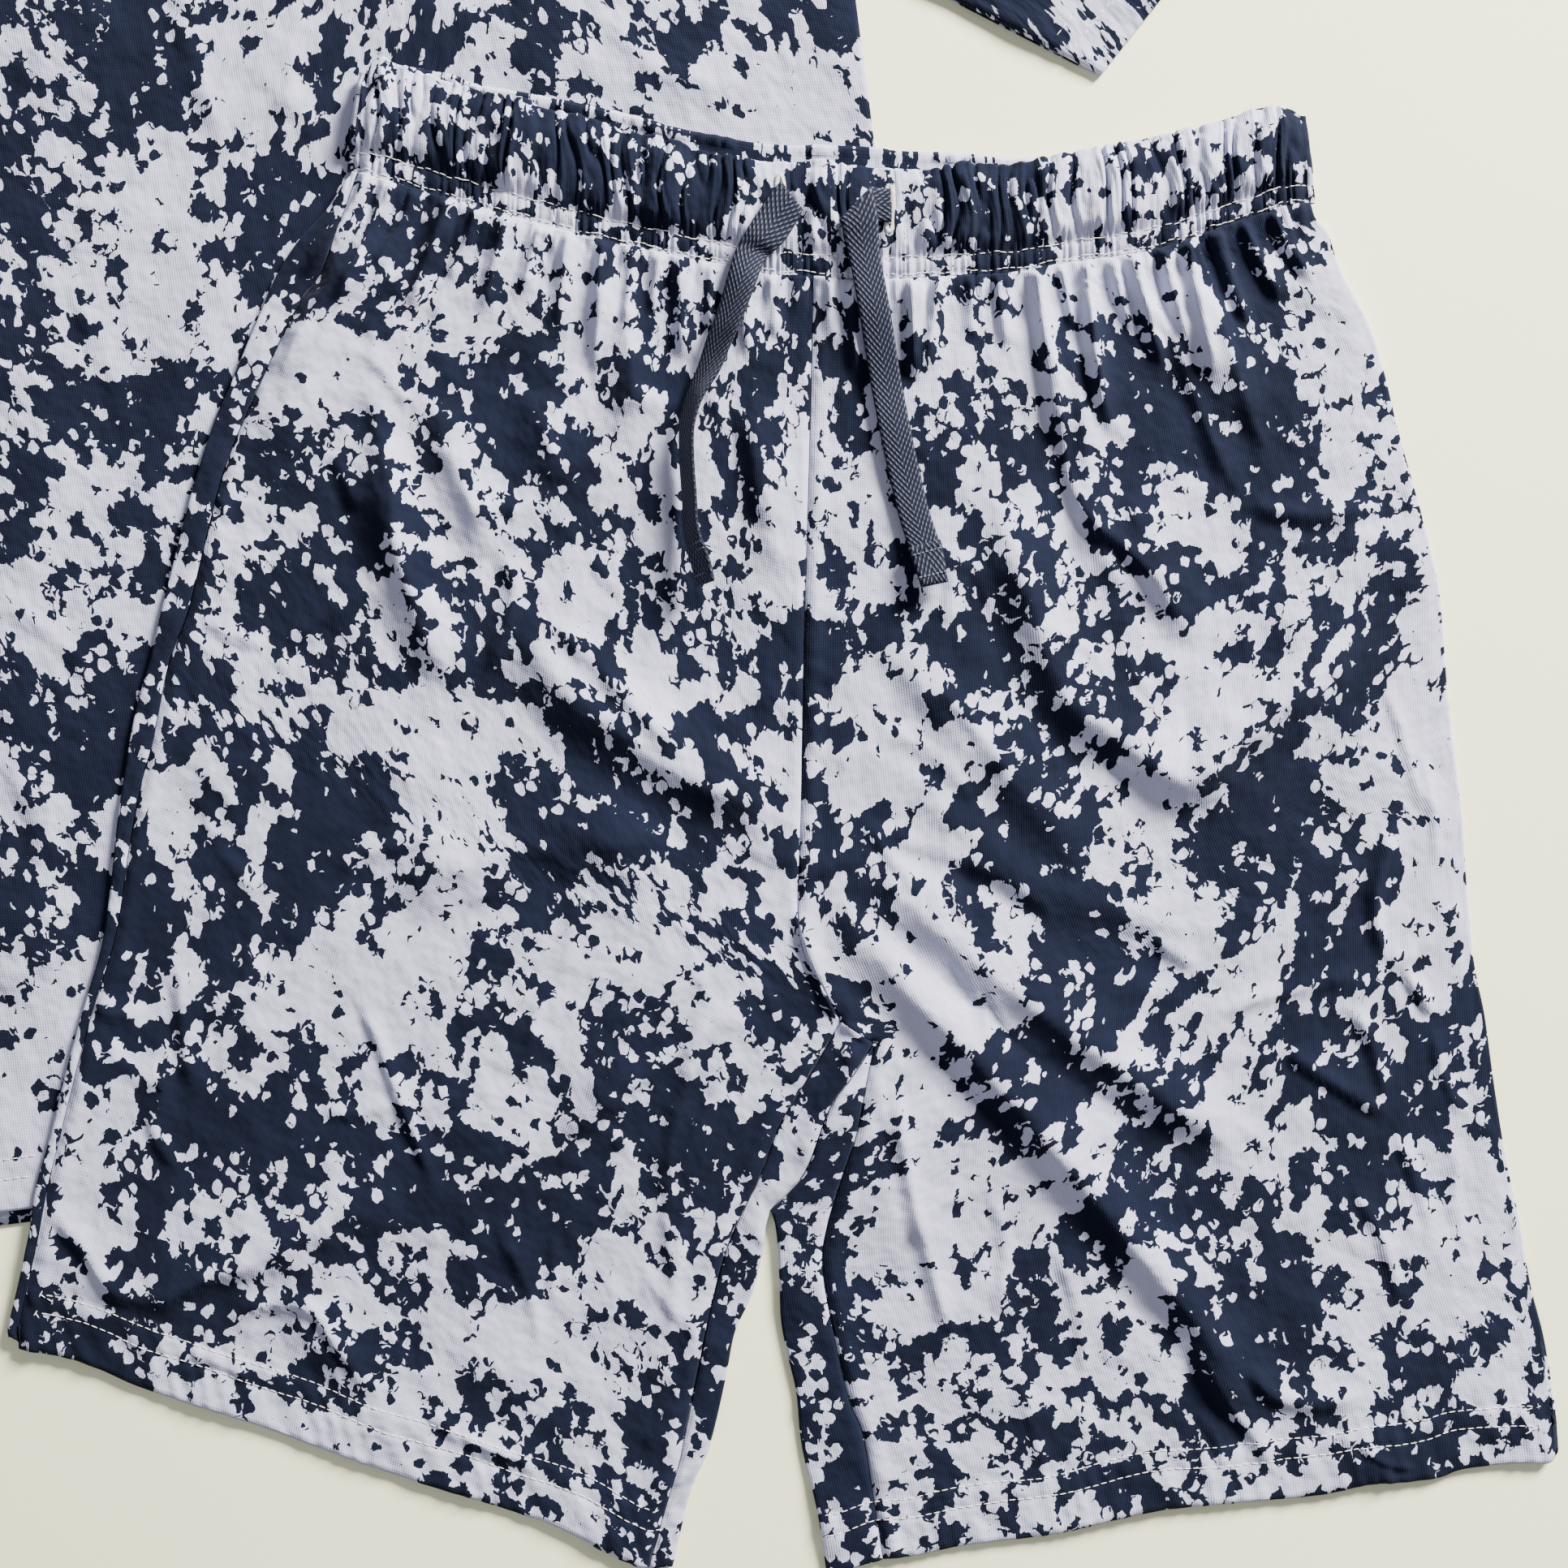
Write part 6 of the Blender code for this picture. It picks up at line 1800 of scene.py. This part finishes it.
@dataclass
class Top:
    """Body of the top: front panel over back panel, sleeves and neckband."""

    layout: Layout
    hem_drop: float = 0.0045
    neck_height: float = 0.620
    neck_half: float = 0.085
    front_drop: float = 0.080
    back_drop: float = 0.020
    band_width: float = 0.018
    sleeve_fold: float = 0.16
    hem_rows: tuple[float, float] = (0.0105, 0.0170)
    sleeve_rows: tuple[float, float] = (0.0124, 0.0192)

    def height(self, x: Array, y: Array, free: Array | None = None) -> Array:
        """Upper face of the front.

        Args:
            x: plan x of the points.
            y: plan y of the points.
            free: 0 under the shorts and 1 clear of them, worked out here if not given.

        Returns:
            Height at each point.
        """
        clear = self.layout.clear(x, y) if free is None else free
        z = (fold_heights(x, y, folds_of(TOP_FOLDS)) + fold_heights(x, y, folds_of(TOP_CREASES), 1.35)
             + fold_heights(x, y, crumples(60, (-0.260, -0.160), (0.060, 0.300), 32), 1.4)
             + 0.0006 + slack(x, y, 0.055, 0.00045, 3) + slack(x, y, 0.018, 0.00012, 9))
        across, up = self.layout.to_top(x, y)
        hem = np.abs(up)
        rise = 0.0004 * (1.0 - ease(0.0166, 0.0186, hem)) - 0.0006 * (1.0 - ease(0.0, 0.0016, hem))
        for place in self.hem_rows:
            rise = rise - 0.00026 * bell(hem - place, 0.0012)
        side = np.abs(np.abs(across) - TOP_HALF_WIDTH)
        roll = 0.0006 * (1.0 - ease(0.0, 0.004, side)) * (up < ARMHOLE[0, 1])
        return LAYER_TOP - 0.0003 + np.maximum(z, 0.0) * clear + (rise - roll) * np.maximum(clear, 0.3)

    def neck_line(self, drop: float) -> Array:
        """Smooth neckline of the front or the back, by how far it drops."""
        low = self.neck_height - drop
        right = np.array(((0.0, low), (0.45 * self.neck_half, low + 0.10 * drop),
                          (0.80 * self.neck_half, low + 0.42 * drop), (self.neck_half, self.neck_height)))
        return smooth_line(np.vstack([right[:0:-1] * (-1.0, 1.0), right]))

    def edges(self, neck_drop: float, down: Array, across: Array) -> tuple[Array, Array, Array, Array]:
        """Edges of a body panel in its own frame: left, right, top and bottom."""
        run = at_shares(np.vstack([[(TOP_HALF_WIDTH, 0.0)], smooth_line(ARMHOLE)]), 1.0 - down)
        top = np.vstack([ARMHOLE[-1:] * (-1.0, 1.0), self.neck_line(neck_drop), ARMHOLE[-1:]])
        bottom = np.column_stack([TOP_HALF_WIDTH * (2.0 * across - 1.0), 0.0 * across])
        return run * (-1.0, 1.0), run, at_shares(top, across), bottom

    def build_body(self, room: Workroom) -> list[bpy.types.Object]:
        """Front and back of the body.

        Args:
            room: workroom that makes the pieces.

        Returns:
            The two panels.
        """
        down = np.concatenate([np.linspace(0.0, 0.96, 192), np.linspace(0.96, 1.0, 24)[1:]])
        across = np.concatenate([[0.0, 0.003], np.linspace(0.007, 0.993, 176), [0.997, 1.0]])
        grid = span(*self.edges(self.front_drop, down, across), down, across)
        placed = self.layout.from_top(grid)
        points = raised(placed, self.height(placed[..., 0], placed[..., 1]))
        flat = cut_lengths(grid, 0.0) + PRINT_AT["top_front"]
        front = room.cloth("top_front_panel", [(points, flat, False)], room.jersey)
        down, across = np.linspace(0.0, 1.0, 60), np.linspace(0.0, 1.0, 46)
        grid = span(*self.edges(self.back_drop, down, across), down, across)
        grid[-1, :, 1] -= self.hem_drop
        points = raised(self.layout.from_top(grid), np.zeros(grid.shape[:2]))
        flat = cut_lengths(grid, 0.0) + PRINT_AT["top_back"]
        return [front, room.cloth("top_back_panel", [(points, flat, True)], room.jersey)]

    def sleeve_height(self, x: Array, y: Array) -> Array:
        """Upper face of a sleeve."""
        return (LAYER_TOP + 0.0004 + slack(x, y, 0.045, 0.0006, 21) + slack(x, y, 0.016, 0.00014, 23)
                + fold_heights(x, y, folds_of(SLEEVE_FOLDS)))

    def build_sleeve(self, room: Workroom, side: Side) -> bpy.types.Object:
        """One sleeve: a flattened tube folded along its upper edge.

        Args:
            room: workroom that makes the piece.
            side: which arm.

        Returns:
            The sleeve.
        """
        across = np.concatenate([np.linspace(0.0, 0.80, 40), np.linspace(0.80, 1.0, 22)[1:]])
        down = np.concatenate([[0.0, 0.008, 0.02], np.linspace(0.035, 0.965, 66), [0.98, 0.992, 1.0]])
        armhole = moved(at_shares(smooth_line(ARMHOLE), 1.0 - down), 3.0 * SEAM_GAP)
        hem = at_shares(SLEEVE_HEM, 1.0 - down)
        upper, lower = (armhole[end] + (hem[end] - armhole[end]) * across[:, None] for end in (0, -1))
        grid = span(armhole, hem, upper, lower, down, across)
        mirror = (float(side.value), 1.0)
        front, fold = self.layout.from_top(grid * mirror), self.layout.from_top(grid[0] * mirror)
        inset = grid[0] + (grid[-1] - grid[0]) * (NOSE_INSET / self.sleeve_fold)
        front[0] = self.layout.from_top(inset * mirror)
        to_hem, to_seam = (np.linalg.norm(grid - grid[:, edge, None], axis=2) for edge in (-1, 0))
        z = self.sleeve_height(front[..., 0], front[..., 1]) + 0.0004 * (1.0 - ease(0.0190, 0.0206, to_hem))
        for place in self.sleeve_rows:
            z = z - 0.0003 * bell(to_hem - place, 0.0012)
        z = z - 0.0006 * bell(to_seam, 0.0014)
        z[-1] = 0.5 * (z[-1] + CLOTH_WALL)
        nose = Shorts.nose(fold, front[0], z[0], np.zeros(len(across)), 4).transpose(1, 0, 2)[::-1]
        tube = np.concatenate([raised(front[::-1], np.zeros(z.shape)), nose, raised(front, z)], axis=0)
        flat_u = np.linalg.norm(tube[..., :2] - tube[:, :1, :2], axis=2) + 1.1 * mirror[0]
        flat = flat_grid(flat_u, -run_lengths(tube[:, 10, :2])) + PRINT_AT["sleeve"]
        return room.cloth(f"sleeve_{side.word}_tube", [(tube, flat, side is Side.LEFT)], room.jersey)

    def build_neckband(self, room: Workroom) -> bpy.types.Object:
        """Rib ring round the neck.

        Args:
            room: workroom that makes the piece.

        Returns:
            The neckband.
        """
        share, downs = np.linspace(0.0, 1.0, 90), np.linspace(0.0, 1.0, 12)
        tip = (self.neck_half - 0.62 * self.band_width, self.neck_height + 0.72 * self.band_width)
        seams, frees = [], []
        for drop, shoulder, side, rise in ((self.front_drop, ((0.064, 0.594),), 0.034, 0.005),
                                           (self.back_drop, (), 0.040, 0.004)):
            seams.append(moved(at_shares(self.neck_line(drop), share), 2.0 * SEAM_GAP))
            low = self.neck_height - drop + self.band_width
            right = np.array(((0.0, low), (side, low + rise), *shoulder, tip))
            frees.append(at_shares(smooth_line(np.vstack([right[:0:-1] * (-1.0, 1.0), right])), share))
        eased = ease(-0.008, 0.012, share) * ease(-0.008, 0.012, 1.0 - share)
        rows = []
        for down in downs:
            front, back = (self.layout.from_top(free + (seam - free) * down)
                           for free, seam in zip(frees, seams))
            height = (LAYER_TOP + 0.0005 * math.sin(math.pi * down)) * np.sqrt(np.clip(eased, 0.25, 1))
            rows.append(np.vstack([raised(front, height), raised(back[::-1], 0 * share),
                                   raised(front[:1], height[:1])]))
        grid = np.stack(rows)
        flat = flat_grid(run_lengths(grid[6, :, :2]), downs * self.band_width)
        piece = room.cloth("neckband_ring", [(grid, flat, False)], room.rib, wall=0.0)
        solid = piece.modifiers.new("wall", "SOLIDIFY")
        solid.thickness, solid.offset = CLOTH_WALL, -1.0
        Workroom.bake(piece)
        return piece

    def hem_lines(self) -> list[Array]:
        """Twin-needle rows of the body's hem, where the shorts leave it free.

        Returns:
            Points of each run of stitches.
        """
        lines = []
        across = np.linspace(0.002 - TOP_HALF_WIDTH, TOP_HALF_WIDTH - 0.002, 420)
        for distance in self.hem_rows:
            placed = self.layout.from_top(np.column_stack([across, np.full(len(across), distance)]))
            free = self.layout.clear(placed[:, 0], placed[:, 1])
            z = self.height(placed[:, 0], placed[:, 1], free) + STITCH_LIFT
            lines += split_runs(raised(placed, z), free > 0.02)
        return lines

    def sleeve_lines(self, side: Side) -> list[Array]:
        """Twin-needle rows of one sleeve's hem.

        Args:
            side: which arm.

        Returns:
            Points of each row.
        """
        start, end = SLEEVE_HEM
        inward = np.array((start[1] - end[1], end[0] - start[0])) / np.linalg.norm(end - start)
        share = np.linspace(0.012, 0.988, 150)[:, None]
        lines = []
        for distance in self.sleeve_rows:
            row = start + (end - start) * share + inward * distance
            placed = self.layout.from_top(row * (float(side.value), 1.0))
            lines.append(raised(placed, self.sleeve_height(placed[:, 0], placed[:, 1]) + 0.00025))
        return lines


def split_runs(points: Array, keep: Array) -> list[Array]:
    """Cut a line into the runs of points that are kept.

    Args:
        points: points of the line.
        keep: which points are kept.

    Returns:
        Runs of at least 4 points.
    """
    changes = np.flatnonzero(np.diff(keep.astype(int))) + 1
    runs = zip(np.split(points, changes), np.split(keep, changes))
    return [run for run, kept in runs if kept[0] and len(run) > 3]


def main() -> None:
    """Build and dress every piece of the set."""
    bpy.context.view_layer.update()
    Studio().build()
    room = Workroom()
    layout = Layout()
    shorts = Shorts(layout)
    band = Waistband(layout, shorts)
    rows = StitchRows()
    top = Top(layout)

    def keep(piece: bpy.types.Object, slot: str, *nodes: str) -> bpy.types.Object:
        """Hand a piece over and give it back."""
        hand_over(piece, slot, *nodes)
        return piece

    cords = []
    for side in Side:
        cord = Drawcord(shorts, band, side)
        cords.append((cord, keep(cord.build(room), "drawcord_tape", f"drawcord_{side.word}")))
    for side in Side:
        keep(shorts.front(room, side), "shorts_jersey", f"shorts_front_{side.word}")
        keep(shorts.back(room, side), "shorts_jersey", f"shorts_back_{side.word}")
        keep(rows.sew(f"hem_rows_{side.word}", shorts.hem_lines(side), room.thread), "buttonhole_thread")
    keep(band.build(room), "waistband_jersey", "waistband")
    keep(rows.sew("band_rows", band.stitch_lines(), room.thread), "buttonhole_thread")
    for side, place in zip(Side, BUTTONHOLES):
        name = f"buttonhole_{side.word}"
        satin, slit = Buttonhole(band, name, place).build(room, rows)
        keep(satin, "buttonhole_thread", name)
        keep(slit, "waistband_jersey")
    for panel, node in zip(top.build_body(room), ("top_front", "top_back")):
        keep(panel, "top_jersey", node)
    keep(rows.sew("hem_rows_top", top.hem_lines(), room.thread), "buttonhole_thread")
    for side in Side:
        keep(top.build_sleeve(room, side), "top_jersey", f"sleeve_{side.word}")
        keep(rows.sew(f"hem_rows_sleeve_{side.word}", top.sleeve_lines(side), room.thread),
             "buttonhole_thread")
    keep(top.build_neckband(room), "neck_rib", "neckband")
    for cord, tape in cords:
        bar = keep(rows.sew(f"end_bar_{cord.side.word}", cord.end_stitches(), room.thread_slate,
                            Pitch=0.0012, Length=0.0013, Thickness=0.0007), "drawcord_tape")
        length = float(run_lengths(cord.path)[-1])
        LOG.info("%s: %.3f m long", tape.name, length)


if __name__ == "__main__":
    logging.basicConfig(level=logging.INFO, format="%(name)s: %(message)s")
    main()
